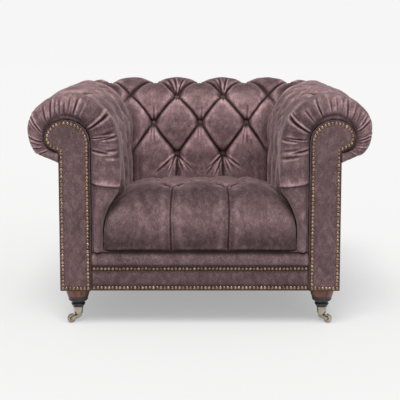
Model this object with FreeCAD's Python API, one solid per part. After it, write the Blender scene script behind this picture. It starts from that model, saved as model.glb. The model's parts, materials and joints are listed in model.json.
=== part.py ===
"""Chesterfield armchair: beech frame, sprung seat, buttoned pads, nailed facings and turned feet on castors.

Millimetres. +Z is up, the chair faces -Y, and the origin is on the floor under the middle of the chair.
The arms and the back share one rolled section, drawn in (w, z): w is the distance out from the chair's middle
on an arm, and on the back it is the distance behind the point where the two sections would meet.
"""
import FreeCAD
import Part

import math
import os

from FreeCAD import Vector

# Overall sizes
overall_width = 1080.0
overall_depth = 930.0
roll_top = 745.0
base_gap = 115.0
rail_height = 126.0

# The rolled section of the arms and the back
roll_overhang = 98.0        # the roll outside the post
facing_width = 97.5         # the post, inner edge to outer edge
upper_padding = 92.5        # padding on the inner face of the post
lower_padding = 39.5        # the same, beside the seat
roll_padding_top = 88.0     # padding over the scroll
roll_padding_side = 55.0    # padding outside the scroll
roll_apex = 129.0           # from the roll's outermost point in to its highest
roll_widest_drop = 117.0    # from the top down to the roll's outermost point
roll_spring_drop = 177.0    # from the top down to where the inner face starts to curve
roll_tuck_drop = 224.0      # from the top down to where the roll meets the outside cover
roll_underside_slope = 0.40
scroll_apex = 65.0
scroll_widest_drop = 56.0
scroll_spring_drop = 72.0
scroll_tuck_drop = 100.0
scroll_underside_slope = 0.45
bend_share = 0.40           # how much of the underside the roll's lower bend takes
bend_weight = 0.80

# Pads
arm_swell_low = 109.0       # heights above the rail where an arm pad swells over the seat's edge
arm_swell_high = 191.0
back_swell_low = 68.0       # the same for the back pad, which meets the seat lower down
back_swell_high = 112.0
swell_lip = 10.0
swell_lip_height = 38.0
pad_front_round = 26.0
pad_gap = 1.0
facing_recess = 13.0

# Seat
seat_gap = 2.0
seat_crown = 204.0          # above the rail, near the front
seat_back_drop = 66.0
seat_nose_depth = 116.0
seat_nose_height = 89.0
seat_crown_run = 130.0
seat_shoulder = 80.0
seat_front_setback = 22.0

# Boards and rails
skin = 5.0
facing_thickness = 12.0
post_thickness = 25.0
rail_thickness = 30.0
front_rail_thickness = 28.0
rear_post_size = 50.0
top_rail_width = 40.0
top_rail_height = 35.0
top_rail_cover = 12.0
roll_rail_width = 22.0
roll_rail_height = 25.0
roll_rail_inset = 15.0
roll_rail_drop = 55.0
arm_rib_y = -90.0
back_rib_x = 125.0
block_height = 30.0
block_length = 85.0
brace_leg = 70.0
brace_height = 60.0
dust_cover_thickness = 2.0
deck_thickness = 11.0

# Front borders
upper_border_height = 48.0
border_board = 4.0
border_flat = 14.0
lower_border_bulge = 6.0
upper_border_bulge = 12.0

# Seat springs
spring_count = 5
spring_pitch = 112.0
spring_wire = 2.0
spring_half_width = 24.0
spring_loop = 11.0
clip_depth = 8.0
clip_width = 14.0
clip_height = 10.0

# Nails and buttons
nail_radius = 4.8
nail_height = 2.6
nail_shank_radius = 0.9
nail_shank_length = 9.0
nail_pitch = 11.86
nail_inset = 9.0
button_radius = 10.5
button_rim = 3.0
button_dome = 4.0
button_depth = 30.0
button_pitch = 175.0
button_row_pitch = 121.0
arm_first_row = 214.0       # height of the lowest row above the rail
back_first_row = 229.0
button_rows = 4
dimple_slope = 0.85
arm_button_front = 100.0    # first button behind the front of the pad
seat_button_front = 102.0
seat_button_rows = 4
seat_row_pitch = 118.0

# Feet and castors
front_foot_inset = 62.0     # from the front of the facing
foot_top_radius = 38.0
foot_bolt_radius = 5.0
foot_bolt_length = 70.0
wheel_radius = 14.5
wheel_width = 10.0
wheel_trail = 26.0
axle_radius = 2.5
king_pin_radius = 4.0
running_clearance = 0.07
fork_gap = 0.8
fork_cheek = 2.4
fork_head_radius = 9.5
fork_head_height = 4.0
cup_top_radius = 16.0
cup_bottom_radius = 13.5
cup_height = 21.5
cup_wall = 2.0
castor_turn = {"front_left": 221.0, "front_right": 311.0, "rear_left": 68.0, "rear_right": 115.0}

# Levels and stations worked out from the sizes above
half_width = overall_width / 2.0
front_y = -overall_depth / 2.0
back_shift = half_width - overall_depth / 2.0
rail_top = base_gap + rail_height
frame_bottom = base_gap + dust_cover_thickness
post_outer = half_width - roll_overhang
post_inner = post_outer - facing_width
pad_inner = post_inner - upper_padding
pad_lower = post_inner - lower_padding
scroll_outer = half_width - roll_padding_side
scroll_top = roll_top - roll_padding_top
facing_front = front_y + facing_recess
facing_back = facing_front + facing_thickness
post_back = facing_back + post_thickness
frame_inner = post_inner + skin
frame_outer = post_outer - skin
rail_outer = frame_inner + rail_thickness
rear_inner_y = frame_inner - back_shift
rear_outer_y = frame_outer - back_shift
foot_w = (frame_inner + frame_outer) / 2


def polygon_edges(points):
    """Straight edges through a list of points."""
    return [Part.makeLine(a, b) for a, b in zip(points, points[1:])]


def bend(start, corner, end, weight):
    """One smooth edge from start to end that leaves and arrives along the lines through corner."""
    curve = Part.BezierCurve()
    curve.setPoles([start, corner, end])
    curve.setWeight(2, weight)
    return curve.toShape()


def quarter(start, corner, end):
    """A quarter of an ellipse, tangent to the lines through corner."""
    return bend(start, corner, end, math.sqrt(0.5))


def box(x0, x1, y0, y1, z0, z1):
    """A solid box between two corners."""
    low = Vector(min(x0, x1), min(y0, y1), min(z0, z1))
    return Part.makeBox(abs(x1 - x0), abs(y1 - y0), abs(z1 - z0), low)


def mirrored(shape):
    """The same piece on the other side of the chair."""
    return shape.mirror(Vector(0, 0, 0), Vector(1, 0, 0))


class Roll:
    """The hooked outline of the roll or of the scroll inside it, in (w, z) at y = 0."""

    def __init__(self, inner, post, outer, apex, top, widest, spring, tuck, slope):
        self.inner, self.post, self.outer = inner, post, outer
        self.apex_w, self.top = outer - apex, top
        self.widest, self.spring = top - widest, top - spring
        self.tuck, self.slope = top - tuck, slope

    def inset(self, side, head):
        """The same outline drawn smaller: side off the straight edges, head off the round ones."""
        copy = Roll.__new__(Roll)
        copy.inner, copy.post, copy.outer = self.inner + side, self.post - side, self.outer - head
        copy.apex_w, copy.top = self.apex_w, self.top - head
        copy.widest, copy.spring, copy.slope = self.widest, self.spring, self.slope
        lift = head * math.hypot(1.0, self.slope) - side * self.slope
        copy.tuck = self.tuck + lift
        return copy

    def head_edges(self):
        """Edges from the inner spring point over the top to the tuck beside the post."""
        spring = Vector(self.inner, 0, self.spring)
        top = Vector(self.apex_w, 0, self.top)
        widest = Vector(self.outer, 0, self.widest)
        tuck = Vector(self.post, 0, self.tuck)
        corner = tuck + Vector(self.outer - self.post, 0, (self.outer - self.post) * self.slope)
        end = tuck + (corner - tuck) * (1.0 - bend_share)
        return [
            quarter(spring, Vector(self.inner, 0, self.top), top),
            quarter(top, Vector(self.outer, 0, self.top), widest),
            bend(widest, corner, end, bend_weight),
            Part.makeLine(end, tuck),
        ]

    def face(self, bottom):
        """The filled outline, with the post running straight down to bottom."""
        foot = [Vector(self.post, 0, self.tuck), Vector(self.post, 0, bottom),
                Vector(self.inner, 0, bottom), Vector(self.inner, 0, self.spring)]
        return Part.Face(Part.Wire(self.head_edges() + polygon_edges(foot)))


roll = Roll(pad_inner, post_outer, half_width, roll_apex, roll_top, roll_widest_drop,
            roll_spring_drop, roll_tuck_drop, roll_underside_slope)
scroll = Roll(post_inner, post_outer, scroll_outer, scroll_apex, scroll_top, scroll_widest_drop,
              scroll_spring_drop, scroll_tuck_drop, scroll_underside_slope)


def to_back(shape):
    """Turns an arm piece drawn in (w, z) into the back's place: w runs to the rear, y runs along x."""
    turned = shape.copy()
    turned.rotate(Vector(0, 0, 0), Vector(0, 0, 1), 90)
    turned.translate(Vector(0, -back_shift, 0))
    return turned


def corner_wedge(side, gap):
    """Everything on the arm's side of the mitre plane in one rear corner."""
    reach = overall_width + overall_depth
    start = Vector(0, -back_shift - gap, -reach / 2)
    points = [start, start + Vector(reach, reach, 0), start + Vector(reach, -reach, 0),
              start + Vector(0, -reach, 0), start]
    wedge = Part.Face(Part.makePolygon(points)).extrude(Vector(0, 0, 2 * reach))
    return wedge if side > 0 else mirrored(wedge)


def along_arm(face, y0, y1, gap=0.0):
    """Extrudes a section along the right arm, mitred where it would pass the back's section."""
    bar = face.copy()
    bar.translate(Vector(0, y0, 0))
    bar = bar.extrude(Vector(0, y1 - y0, 0))
    return bar.common(corner_wedge(1, gap)).Solids[0]


def along_back(face, gap=0.0):
    """Extrudes a section along the back, mitred at both ends."""
    bar = face.copy()
    bar.translate(Vector(0, -half_width, 0))
    bar = to_back(bar.extrude(Vector(0, overall_width, 0)))
    for side in (1, -1):
        bar = bar.cut(corner_wedge(side, -gap))
    return bar.Solids[0]


def pad_face(swell_low, swell_high):
    """The pad's section: from the rail up the inner face, over the roll and round the frame inside it."""
    cavity = scroll.inset(-pad_gap, -pad_gap)
    lower = [
        Vector(cavity.inner, 0, rail_top),
        Vector(pad_lower, 0, rail_top),
        Vector(pad_lower, 0, rail_top + swell_low),
        Vector(pad_inner + swell_lip, 0, rail_top + swell_high),
        Vector(pad_inner, 0, rail_top + swell_high + swell_lip_height),
        Vector(pad_inner, 0, roll.spring),
    ]
    closing = [Vector(cavity.inner, 0, cavity.spring), Vector(cavity.inner, 0, rail_top)]
    outer_roll = roll.head_edges()
    tuck = Vector(roll.post, 0, roll.tuck)
    slot = [tuck, Vector(cavity.post, 0, roll.tuck + pad_gap), Vector(cavity.post, 0, cavity.tuck)]
    edges = polygon_edges(lower) + outer_roll + polygon_edges(slot) + cavity.head_edges()
    return Part.Face(Part.Wire(Part.__sortEdges__(edges + polygon_edges(closing))))


def row_places(first_row):
    """Where each button row meets the section: (point, outward normal), lowest row first."""
    climb = [Part.makeLine(Vector(pad_inner, 0, rail_top + first_row), Vector(pad_inner, 0, roll.spring))]
    path = climb + roll.head_edges()[:2]
    places = []
    for row in range(button_rows):
        distance = row * button_row_pitch
        for edge in path:
            if distance <= edge.Length:
                break
            distance -= edge.Length
        at = edge.getParameterByLength(distance)
        tangent = edge.tangentAt(at)
        places.append((edge.valueAt(at), Vector(-tangent.z, 0, tangent.x)))
    return places


def button():
    """One covered button at the origin, its dome upwards."""
    rim, top = Vector(button_radius, 0, button_rim), Vector(0, 0, button_rim + button_dome)
    profile = [
        Part.makeLine(Vector(0, 0, 0), Vector(button_radius, 0, 0)),
        Part.makeLine(Vector(button_radius, 0, 0), rim),
        quarter(rim, Vector(button_radius, 0, top.z), top),
        Part.makeLine(top, Vector(0, 0, 0)),
    ]
    return Part.Face(Part.Wire(profile)).revolve(Vector(0, 0, 0), Vector(0, 0, 1), 360)


def button_at(surface_point, normal):
    """A covered button at the bottom of its dimple."""
    one = button()
    turn = FreeCAD.Rotation(Vector(0, 0, 1), normal)
    one.Placement = FreeCAD.Placement(surface_point - normal * button_depth, turn)
    return one


def dimple_at(surface_point, normal):
    """The hollow that a button pulls into a pad."""
    floor_radius = button_radius + pad_gap
    over = button_depth / 2
    depth = button_depth + over
    base = surface_point - normal * button_depth
    return Part.makeCone(floor_radius, floor_radius + depth * dimple_slope, depth, base, normal)


def arm_button_places():
    """Buttons on the right arm: rows alternate by half a pitch, and stop short of the corner."""
    places = []
    for row, (point, normal) in enumerate(row_places(arm_first_row)):
        y = front_y + arm_button_front + (row % 2) * button_pitch / 2
        limit = point.x - back_shift - button_pitch / 4
        while y < limit:
            places.append((point + Vector(0, y, 0), normal))
            y += button_pitch
    return places


def back_button_places():
    """Buttons on the back: the same rows, centred on the middle of the chair."""
    places = []
    for row, (point, normal) in enumerate(row_places(back_first_row)):
        limit = point.x - button_pitch / 4
        x = (1 - row % 2) * button_pitch / 2
        while x < limit:
            for sign in ((1, -1) if x else (1,)):
                at = Vector(sign * x, point.x - back_shift, point.z)
                places.append((at, Vector(0, normal.x, normal.z)))
            x += button_pitch
    return places


seat_side = pad_lower - seat_gap
seat_front = front_y + seat_front_setback
seat_rear = pad_lower - back_shift - seat_gap
seat_top = rail_top + seat_crown


def seat_faces():
    """The seat's outline from the front and from the side.

    The front one stays clear above the side one's top.
    """
    shoulder_z = rail_top + arm_swell_low - seat_gap
    shoulder_w = pad_inner + swell_lip - seat_gap
    shoulder = Vector(shoulder_w, 0, rail_top + arm_swell_high - seat_gap)
    over_top = seat_top + seat_gap
    crown = Vector(shoulder_w - seat_shoulder, 0, over_top)
    half = [Vector(0, 0, rail_top), Vector(seat_side, 0, rail_top), Vector(seat_side, 0, shoulder_z),
            shoulder]
    slope = (shoulder.z - shoulder_z) / (seat_side - shoulder.x)
    meet = Vector(shoulder.x - (over_top - shoulder.z) / slope, 0, over_top)
    right = polygon_edges(half) + [
        bend(shoulder, meet, crown, 1.0),
        Part.makeLine(crown, Vector(0, 0, over_top)),
    ]
    left = [edge.mirror(Vector(0, 0, 0), Vector(1, 0, 0)) for edge in right]
    front = Part.Face(Part.Wire(Part.__sortEdges__(right + left)))
    rear_low = rail_top + back_swell_low - seat_gap
    rear_high_y = pad_inner + swell_lip - back_shift - seat_gap
    rear_high = rail_top + back_swell_high - seat_gap
    rear_top = seat_top - seat_back_drop
    rear_lean = (rear_top - rear_high) * swell_lip / swell_lip_height
    nose_start = Vector(0, seat_front, seat_top - seat_nose_height)
    nose_end = Vector(0, seat_front + seat_nose_depth, seat_top)
    side_points = [
        Vector(0, rear_high_y - rear_lean, rear_top),
        Vector(0, rear_high_y, rear_high),
        Vector(0, seat_rear, rear_low),
        Vector(0, seat_rear, rail_top),
        Vector(0, seat_front, rail_top),
        nose_start,
    ]
    crown_bend = Vector(0, nose_end.y + seat_crown_run, seat_top)
    side_edges = polygon_edges(side_points) + [
        quarter(nose_start, Vector(0, seat_front, seat_top), nose_end),
        bend(nose_end, crown_bend, side_points[0], 1.0),
    ]
    return front, Part.Face(Part.Wire(side_edges))


def seat_solid():
    """The seat pad: its front outline run back, cut to its side outline."""
    front, side = seat_faces()
    front.translate(Vector(0, front_y, 0))
    length = front.extrude(Vector(0, overall_depth, 0))
    side.translate(Vector(-half_width, 0, 0))
    return length.common(side.extrude(Vector(overall_width, 0, 0))).Solids[0]


def seat_button_places():
    """Buttons on the seat, with the surface under each found from the side outline."""
    _, side = seat_faces()
    places = []
    for row in range(seat_button_rows):
        y = seat_front + seat_button_front + row * seat_row_pitch
        ray = Part.makeLine(Vector(0, y, rail_top + seat_crown / 4), Vector(0, y, roll_top))
        z = side.common(ray).BoundBox.ZMax
        x = (1 - row % 2) * button_pitch / 2
        while x < seat_side - button_pitch / 3:
            for sign in ((1, -1) if x else (1,)):
                places.append((Vector(sign * x, y, z), Vector(0, 0, 1)))
            x += button_pitch
    return places


def with_dimples(pad, places):
    """The pad with a dimple for each of its buttons."""
    for point, normal in places:
        pad = pad.cut(dimple_at(point, normal))
    return max(pad.Solids, key=lambda solid: solid.Volume)


def rounded_front(pad):
    """Rounds the pad's outer edge at the front, where it turns in to the facing."""
    edges = []
    for edge in pad.Edges:
        bounds = edge.BoundBox
        on_front = bounds.YMax < front_y + 0.01
        over_roll = bounds.ZMax > roll.tuck and bounds.XMax > pad_inner - 0.01
        outside = bounds.XMin < pad_inner + 0.01 or bounds.ZMax > scroll_top + 2 * pad_gap
        if on_front and over_roll and (outside or bounds.XMax > scroll_outer + 2 * pad_gap):
            edges.append(edge)
    return pad.makeFillet(pad_front_round, edges)


def build_pads():
    """The three tufted pads, the seat pad and their buttons."""
    arm = along_arm(pad_face(arm_swell_low, arm_swell_high), front_y, overall_depth, pad_gap / 2)
    arm_places = arm_button_places()
    arm = with_dimples(rounded_front(arm), arm_places)
    back_places = back_button_places()
    back = with_dimples(along_back(pad_face(back_swell_low, back_swell_high), pad_gap / 2), back_places)
    seat_places = seat_button_places()
    seat = with_dimples(seat_solid(), seat_places)
    arm_buttons = Part.makeCompound([button_at(*place) for place in arm_places])
    return {
        "inner_arm_pad_right": arm,
        "inner_arm_pad_left": mirrored(arm),
        "inner_back_pad": back,
        "seat_pad": seat,
        "arm_buttons_right": arm_buttons,
        "arm_buttons_left": mirrored(arm_buttons),
        "back_buttons": Part.makeCompound([button_at(*place) for place in back_places]),
        "seat_buttons": Part.makeCompound([button_at(*place) for place in seat_places]),
    }


def plate(face, y0, y1):
    """A board with the given outline between two stations along y."""
    board = face.copy()
    board.translate(Vector(0, y0, 0))
    return board.extrude(Vector(0, y1 - y0, 0))


def bar_face(w0, w1, z0, z1):
    """The section of a straight rail."""
    points = [Vector(w0, 0, z0), Vector(w1, 0, z0), Vector(w1, 0, z1), Vector(w0, 0, z1), Vector(w0, 0, z0)]
    return Part.Face(Part.makePolygon(points))


def build_frame():
    """Rails, posts, ribs and boards of the wooden frame."""
    top_z1 = scroll_top - top_rail_cover
    top_z0 = top_z1 - top_rail_height
    top_w = scroll.apex_w - (top_rail_width + top_rail_cover) / 2
    top_face = bar_face(top_w, top_w + top_rail_width, top_z0, top_z1)
    roll_w = scroll_outer - roll_rail_inset - roll_rail_width
    roll_z1 = scroll_top - roll_rail_drop
    roll_face = bar_face(roll_w, roll_w + roll_rail_width, roll_z1 - roll_rail_height, roll_z1)
    arm_top_rail = along_arm(top_face, post_back, overall_depth)
    arm_roll_rail = along_arm(roll_face, post_back, overall_depth)
    back_top_rail = along_back(top_face)
    back_roll_rail = along_back(roll_face)

    frame_outline = scroll.inset(skin, pad_gap)
    front_post = plate(frame_outline.face(frame_bottom), facing_back, post_back)
    rib = plate(frame_outline.face(rail_top), -post_thickness / 2, post_thickness / 2)
    arm_rib = rib.copy()
    arm_rib.translate(Vector(0, arm_rib_y, 0))
    arm_rib = arm_rib.cut(arm_top_rail).cut(arm_roll_rail)
    back_ribs = []
    for x in (-back_rib_x, back_rib_x):
        one = to_back(rib)
        one.translate(Vector(x, 0, 0))
        back_ribs.append(one.cut(back_top_rail).cut(back_roll_rail).Solids[0])

    block_top = frame_bottom + block_height
    front_block = box(rail_outer, frame_outer, post_back, post_back + block_length, frame_bottom, block_top)
    rear_block = box(frame_inner, frame_outer, rear_inner_y, rear_outer_y, frame_bottom, block_top)
    rear_post = box(frame_inner, frame_inner + rear_post_size, rear_inner_y, rear_inner_y + rear_post_size,
                    block_top, top_z0)
    side_rail = box(frame_inner, rail_outer, post_back, rear_inner_y, frame_bottom, rail_top)
    rear_rail = box(-frame_inner, frame_inner, rear_inner_y, rear_inner_y + rail_thickness,
                    frame_bottom, rail_top)
    front_rail = box(-frame_inner, frame_inner, facing_back, facing_back + front_rail_thickness,
                     frame_bottom, rail_top)
    arm_liner = box(post_inner, frame_inner, facing_back, rear_inner_y - skin, rail_top, scroll.spring)
    back_liner = box(-frame_inner, frame_inner, rear_inner_y - skin, rear_inner_y, rail_top, scroll.spring)

    blocks = []
    braces = []
    bolts = []
    for x, y in foot_places():
        block = front_block if y < 0 else rear_block
        block = block if x > 0 else mirrored(block)
        bolt = Part.makeCylinder(foot_bolt_radius, foot_bolt_length,
                                 Vector(x, y, block_top - foot_bolt_length), Vector(0, 0, 1))
        blocks.append(block.cut(bolt))
        bolts.append(bolt)
        inner_y = facing_back + front_rail_thickness if y < 0 else rear_inner_y
        into = 1 if y < 0 else -1
        corner = Vector(math.copysign(frame_inner, x), inner_y, frame_bottom)
        points = [corner, corner + Vector(0, into * brace_leg, 0),
                  corner - Vector(math.copysign(brace_leg, x), 0, 0), corner]
        braces.append(Part.Face(Part.makePolygon(points)).extrude(Vector(0, 0, brace_height)))

    return {
        "front_rail": front_rail,
        "rear_rail": rear_rail,
        "side_rail_right": side_rail,
        "side_rail_left": mirrored(side_rail),
        "arm_front_post_right": front_post,
        "arm_front_post_left": mirrored(front_post),
        "arm_ribs": Part.makeCompound([arm_rib, mirrored(arm_rib)]),
        "rear_post_right": rear_post,
        "rear_post_left": mirrored(rear_post),
        "arm_top_rails": Part.makeCompound([arm_top_rail, mirrored(arm_top_rail)]),
        "arm_roll_rails": Part.makeCompound([arm_roll_rail, mirrored(arm_roll_rail)]),
        "back_top_rail": back_top_rail,
        "back_roll_rail": back_roll_rail,
        "back_ribs": Part.makeCompound(back_ribs),
        "arm_liners": Part.makeCompound([arm_liner, mirrored(arm_liner)]),
        "back_liner": back_liner,
        "foot_blocks": Part.makeCompound(blocks),
        "corner_braces": Part.makeCompound(braces),
        "foot_bolts": Part.makeCompound(bolts),
    }


def build_seat_base():
    """Zigzag springs, their clips, the deck over them and the dust cover under the frame."""
    front = facing_back + front_rail_thickness
    rear = rear_inner_y
    deck = box(-frame_inner, frame_inner, front, rear, rail_top - deck_thickness, rail_top)
    level = rail_top - deck_thickness - spring_wire
    first, last = front + clip_depth, rear - clip_depth
    turns = 2 * int((last - first) / (4 * spring_loop))
    step = (last - first) / turns
    half = spring_half_width - step / 2
    springs, clips = [], []
    for index in range(spring_count):
        x = (index - (spring_count - 1) / 2) * spring_pitch
        edges = []
        here = Vector(x, first, level)
        for turn in range(turns):
            sign = 1 if turn % 2 == 0 else -1
            middle_y = first + (turn + 0.5) * step
            out = Vector(x + sign * half, middle_y - step / 2, level)
            back = Vector(x + sign * half, middle_y + step / 2, level)
            edges.append(Part.makeLine(here, out))
            edges.append(Part.Arc(out, Vector(x + sign * (half + step / 2), middle_y, level), back).toShape())
            here = back
        edges.append(Part.makeLine(here, Vector(x, last, level)))
        path = Part.Wire(edges)
        circle = Part.Wire(Part.makeCircle(spring_wire, Vector(x, first, level), Vector(1, 0, 0)))
        springs.append(path.makePipeShell([circle], True, True))
        for y0, y1 in ((front, first + spring_wire), (last - spring_wire, rear)):
            clips.append(box(x - clip_width / 2, x + clip_width / 2, y0, y1,
                             level - clip_height / 2, level + spring_wire))
    spring_group = Part.makeCompound(springs)
    clip_group = Part.makeCompound([clip.cut(spring_group).Solids[0] for clip in clips])
    cover = box(-frame_outer, frame_outer, facing_back, rear_outer_y, base_gap, frame_bottom)
    for x, y in foot_places():
        cover = cover.cut(Part.makeCylinder(foot_top_radius + pad_gap, 2 * dust_cover_thickness,
                                            Vector(x, y, base_gap - dust_cover_thickness / 2)))
    return {"seat_springs": spring_group, "spring_clips": clip_group, "seat_deck": deck, "dust_cover": cover}


def border_solid(z0, z1, bulge, flat_low, flat_high):
    """A padded band across the front, with a flat strip at an edge that takes a row of nails."""
    face_y = facing_back - border_board
    start = Vector(0, face_y, z0 + flat_low)
    end = Vector(0, face_y, z1 - flat_high)
    middle = Vector(0, face_y - bulge, (start.z + end.z) / 2)
    loop = [end, Vector(0, face_y, z1), Vector(0, facing_back, z1), Vector(0, facing_back, z0),
            Vector(0, face_y, z0), start]
    loop = [a for a, b in zip(loop, loop[1:] + [None]) if b is None or (a - b).Length > 1e-6]
    edges = polygon_edges(loop) + [Part.Arc(start, middle, end).toShape()]
    half = post_inner - pad_gap
    face = Part.Face(Part.Wire(edges))
    face.translate(Vector(-half, 0, 0))
    return face.extrude(Vector(2 * half, 0, 0))


def nail():
    """One domed upholstery nail at the origin, its head towards -Y."""
    dome = [(0.0, 1.0), (0.42, 0.91), (0.74, 0.67), (0.93, 0.37), (1.0, 0.0)]
    profile = [Vector(out * nail_radius, -up * nail_height, 0) for out, up in dome]
    profile += [Vector(nail_shank_radius, 0, 0), Vector(0, nail_shank_length, 0)]
    face = Part.Face(Part.makePolygon(profile + [profile[0]]))
    return face.revolve(Vector(0, 0, 0), Vector(0, 1, 0), 360)


def nails_along(runs, y, closed):
    """Nails evenly spaced near the pitch along each run of edges, on the plane at y."""
    points = []
    for run in runs:
        wire = Part.Wire(run)
        count = max(1, round(wire.Length / nail_pitch))
        points += wire.discretize(Number=count + 1)[:-1]
    if not closed:
        points.append(wire.discretize(Number=count + 1)[-1])
    head = nail()
    solids = []
    for point in points:
        one = head.copy()
        one.translate(Vector(point.x, y, point.z))
        solids.append(one)
    return Part.makeCompound(solids)


def build_front():
    """Facings, borders, outside covers and the rows of nails."""
    facing = plate(scroll.face(base_gap), facing_front, facing_back)
    low_z = base_gap + nail_inset
    path = scroll.inset(nail_inset, nail_inset)
    inner_foot, outer_foot = Vector(path.inner, 0, low_z), Vector(path.post, 0, low_z)
    outer_top, inner_top = Vector(path.post, 0, path.tuck), Vector(path.inner, 0, path.spring)
    runs = [
        [Part.makeLine(inner_foot, inner_top)],
        path.head_edges(),
        [Part.makeLine(outer_top, outer_foot)],
        [Part.makeLine(outer_foot, inner_foot)],
    ]
    facing_nails = nails_along(runs, facing_front, True)
    split = rail_top - upper_border_height
    lower = border_solid(base_gap, split, lower_border_bulge, border_flat + nail_inset / 3, border_flat)
    upper = border_solid(split, rail_top, upper_border_bulge, 0.0, 0.0)
    end = post_inner - nail_inset / 2 - nail_radius
    strip_y = facing_back - border_board
    nail_rows = {}
    for name, z in (("border_nails_lower", low_z), ("border_nails_upper", split - border_flat / 2)):
        row = [Part.makeLine(Vector(-end, 0, z), Vector(end, 0, z))]
        nail_rows[name] = nails_along([row], strip_y, False)
    cover_top = scroll.inset(skin, pad_gap).tuck
    arm_cover = box(frame_outer, post_outer, facing_back, post_outer - back_shift, base_gap, cover_top)
    back_cover = box(-frame_outer, frame_outer, rear_outer_y, rear_outer_y + skin, base_gap, cover_top)
    return {
        "arm_facing_right": facing,
        "arm_facing_left": mirrored(facing),
        "facing_nails_right": facing_nails,
        "facing_nails_left": mirrored(facing_nails),
        "front_border_lower": lower,
        "front_border_upper": upper,
        "outer_arm_cover_right": arm_cover,
        "outer_arm_cover_left": mirrored(arm_cover),
        "outer_back_cover": back_cover,
        **nail_rows,
    }


def foot_places():
    """Centres of the four feet."""
    front = facing_front + front_foot_inset
    rear = foot_w - back_shift
    return [(-foot_w, front), (foot_w, front), (-foot_w, rear), (foot_w, rear)]


fork_head_top = 2 * wheel_radius - 2.0
fork_head_bottom = fork_head_top - fork_head_height
cup_bottom = fork_head_top + running_clearance * 4
cup_top = cup_bottom + cup_height
cup_floor = 2 * cup_wall
king_pin_top = cup_bottom + cup_height * 0.8


def turned(points):
    """A solid turned about Z from a closed (radius, height) outline."""
    profile = [Vector(r, 0, z) for r, z in points]
    face = Part.Face(Part.makePolygon(profile + [profile[0]]))
    return face.revolve(Vector(0, 0, 0), Vector(0, 0, 1), 360)


def foot_solid():
    """A turned wooden foot that ends inside the castor's cup."""
    top = frame_bottom
    neck = cup_bottom_radius + cup_wall * 2.4
    fill = cup_bottom_radius - cup_wall - running_clearance
    ring = foot_top_radius * 0.6
    visible = top - cup_top
    fractions = [
        (foot_top_radius * 0.97, 1.0), (foot_top_radius, 0.88), (foot_top_radius * 0.97, 0.70),
        (foot_top_radius * 0.91, 0.62), (foot_top_radius * 0.85, 0.45), (foot_top_radius * 0.85, 0.40),
        (foot_top_radius * 0.80, 0.30), (neck * 1.06, 0.21), (neck, 0.17), (ring * 0.98, 0.15),
        (ring, 0.12), (ring * 0.97, 0.085), (neck * 0.96, 0.03), (neck * 0.95, 0.0),
    ]
    outline = [(radius, cup_top + share * visible) for radius, share in fractions]
    floor = cup_bottom + cup_floor
    outline += [(fill, cup_top), (fill, floor)]
    hole = king_pin_radius + 1.0
    outline += [(hole, floor), (hole, king_pin_top + 1.0), (0, king_pin_top + 1.0), (0, top)]
    return turned(outline)


def cup_solid():
    """The brass cup under a foot, with a hole for the castor's king pin."""
    bore = king_pin_radius + running_clearance
    floor = cup_bottom + cup_floor
    inner = cup_bottom_radius - cup_wall
    return turned([(bore, cup_bottom), (cup_bottom_radius, cup_bottom), (cup_top_radius, cup_top),
                   (inner, cup_top), (inner, floor), (bore, floor)])


def cup_screw():
    """The small screw that holds a cup to its foot, seen from the front of the foot."""
    z = cup_bottom + cup_height * 0.72
    start = Vector(0, -(cup_top_radius + 0.6), z)
    length = cup_top_radius + 0.6 - (cup_bottom_radius - cup_wall) + 3.0
    return Part.makeCylinder(1.7, length, start, Vector(0, 1, 0))


def fork_solids():
    """The swivelling fork: king pin, head, two cheeks and the riveted axle. It trails along +X."""
    half = wheel_width / 2 + fork_gap
    pin = Part.makeCylinder(king_pin_radius, king_pin_top - fork_head_bottom, Vector(0, 0, fork_head_bottom))
    head = Part.makeCylinder(fork_head_radius, fork_head_height, Vector(0, 0, fork_head_bottom))
    neck_x = wheel_trail - wheel_radius - 2.0
    neck_drop = fork_head_height * 1.6
    bridge = box(-fork_head_radius * 0.75, neck_x, -half - fork_cheek, half + fork_cheek,
                 fork_head_bottom - neck_drop, fork_head_bottom)
    boss = axle_radius * 2.6
    outline = [
        Vector(-fork_head_radius * 0.75, 0, fork_head_bottom),
        Vector(neck_x + 1.0, 0, fork_head_bottom),
        Vector(wheel_trail + boss * 0.25, 0, wheel_radius + boss * 0.96),
        Vector(wheel_trail - boss * 0.35, 0, wheel_radius - boss * 0.93),
        Vector(0, 0, fork_head_bottom - neck_drop * 1.6),
        Vector(-fork_head_radius * 0.75, 0, fork_head_bottom - neck_drop),
    ]
    fork = head.fuse(pin).fuse(bridge)
    for y in (-half - fork_cheek, half):
        web = Part.Face(Part.makePolygon(outline + [outline[0]]))
        web.translate(Vector(0, y, 0))
        web = web.extrude(Vector(0, fork_cheek, 0))
        eye = Part.makeCylinder(boss, fork_cheek, Vector(wheel_trail, y, wheel_radius), Vector(0, 1, 0))
        fork = fork.fuse(web.fuse(eye))
    hole = Part.makeCylinder(axle_radius, wheel_trail, Vector(wheel_trail, -wheel_trail / 2, wheel_radius),
                             Vector(0, 1, 0))
    fork = fork.cut(hole).removeSplitter().Solids[0]
    reach = half + fork_cheek
    axle = Part.makeCylinder(axle_radius, 2 * reach, Vector(wheel_trail, -reach, wheel_radius),
                             Vector(0, 1, 0))
    for y in (-reach - 1.2, reach):
        axle = axle.fuse(Part.makeCylinder(axle_radius * 1.5, 1.2, Vector(wheel_trail, y, wheel_radius),
                                           Vector(0, 1, 0)))
    return fork, axle.removeSplitter().Solids[0]


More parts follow.
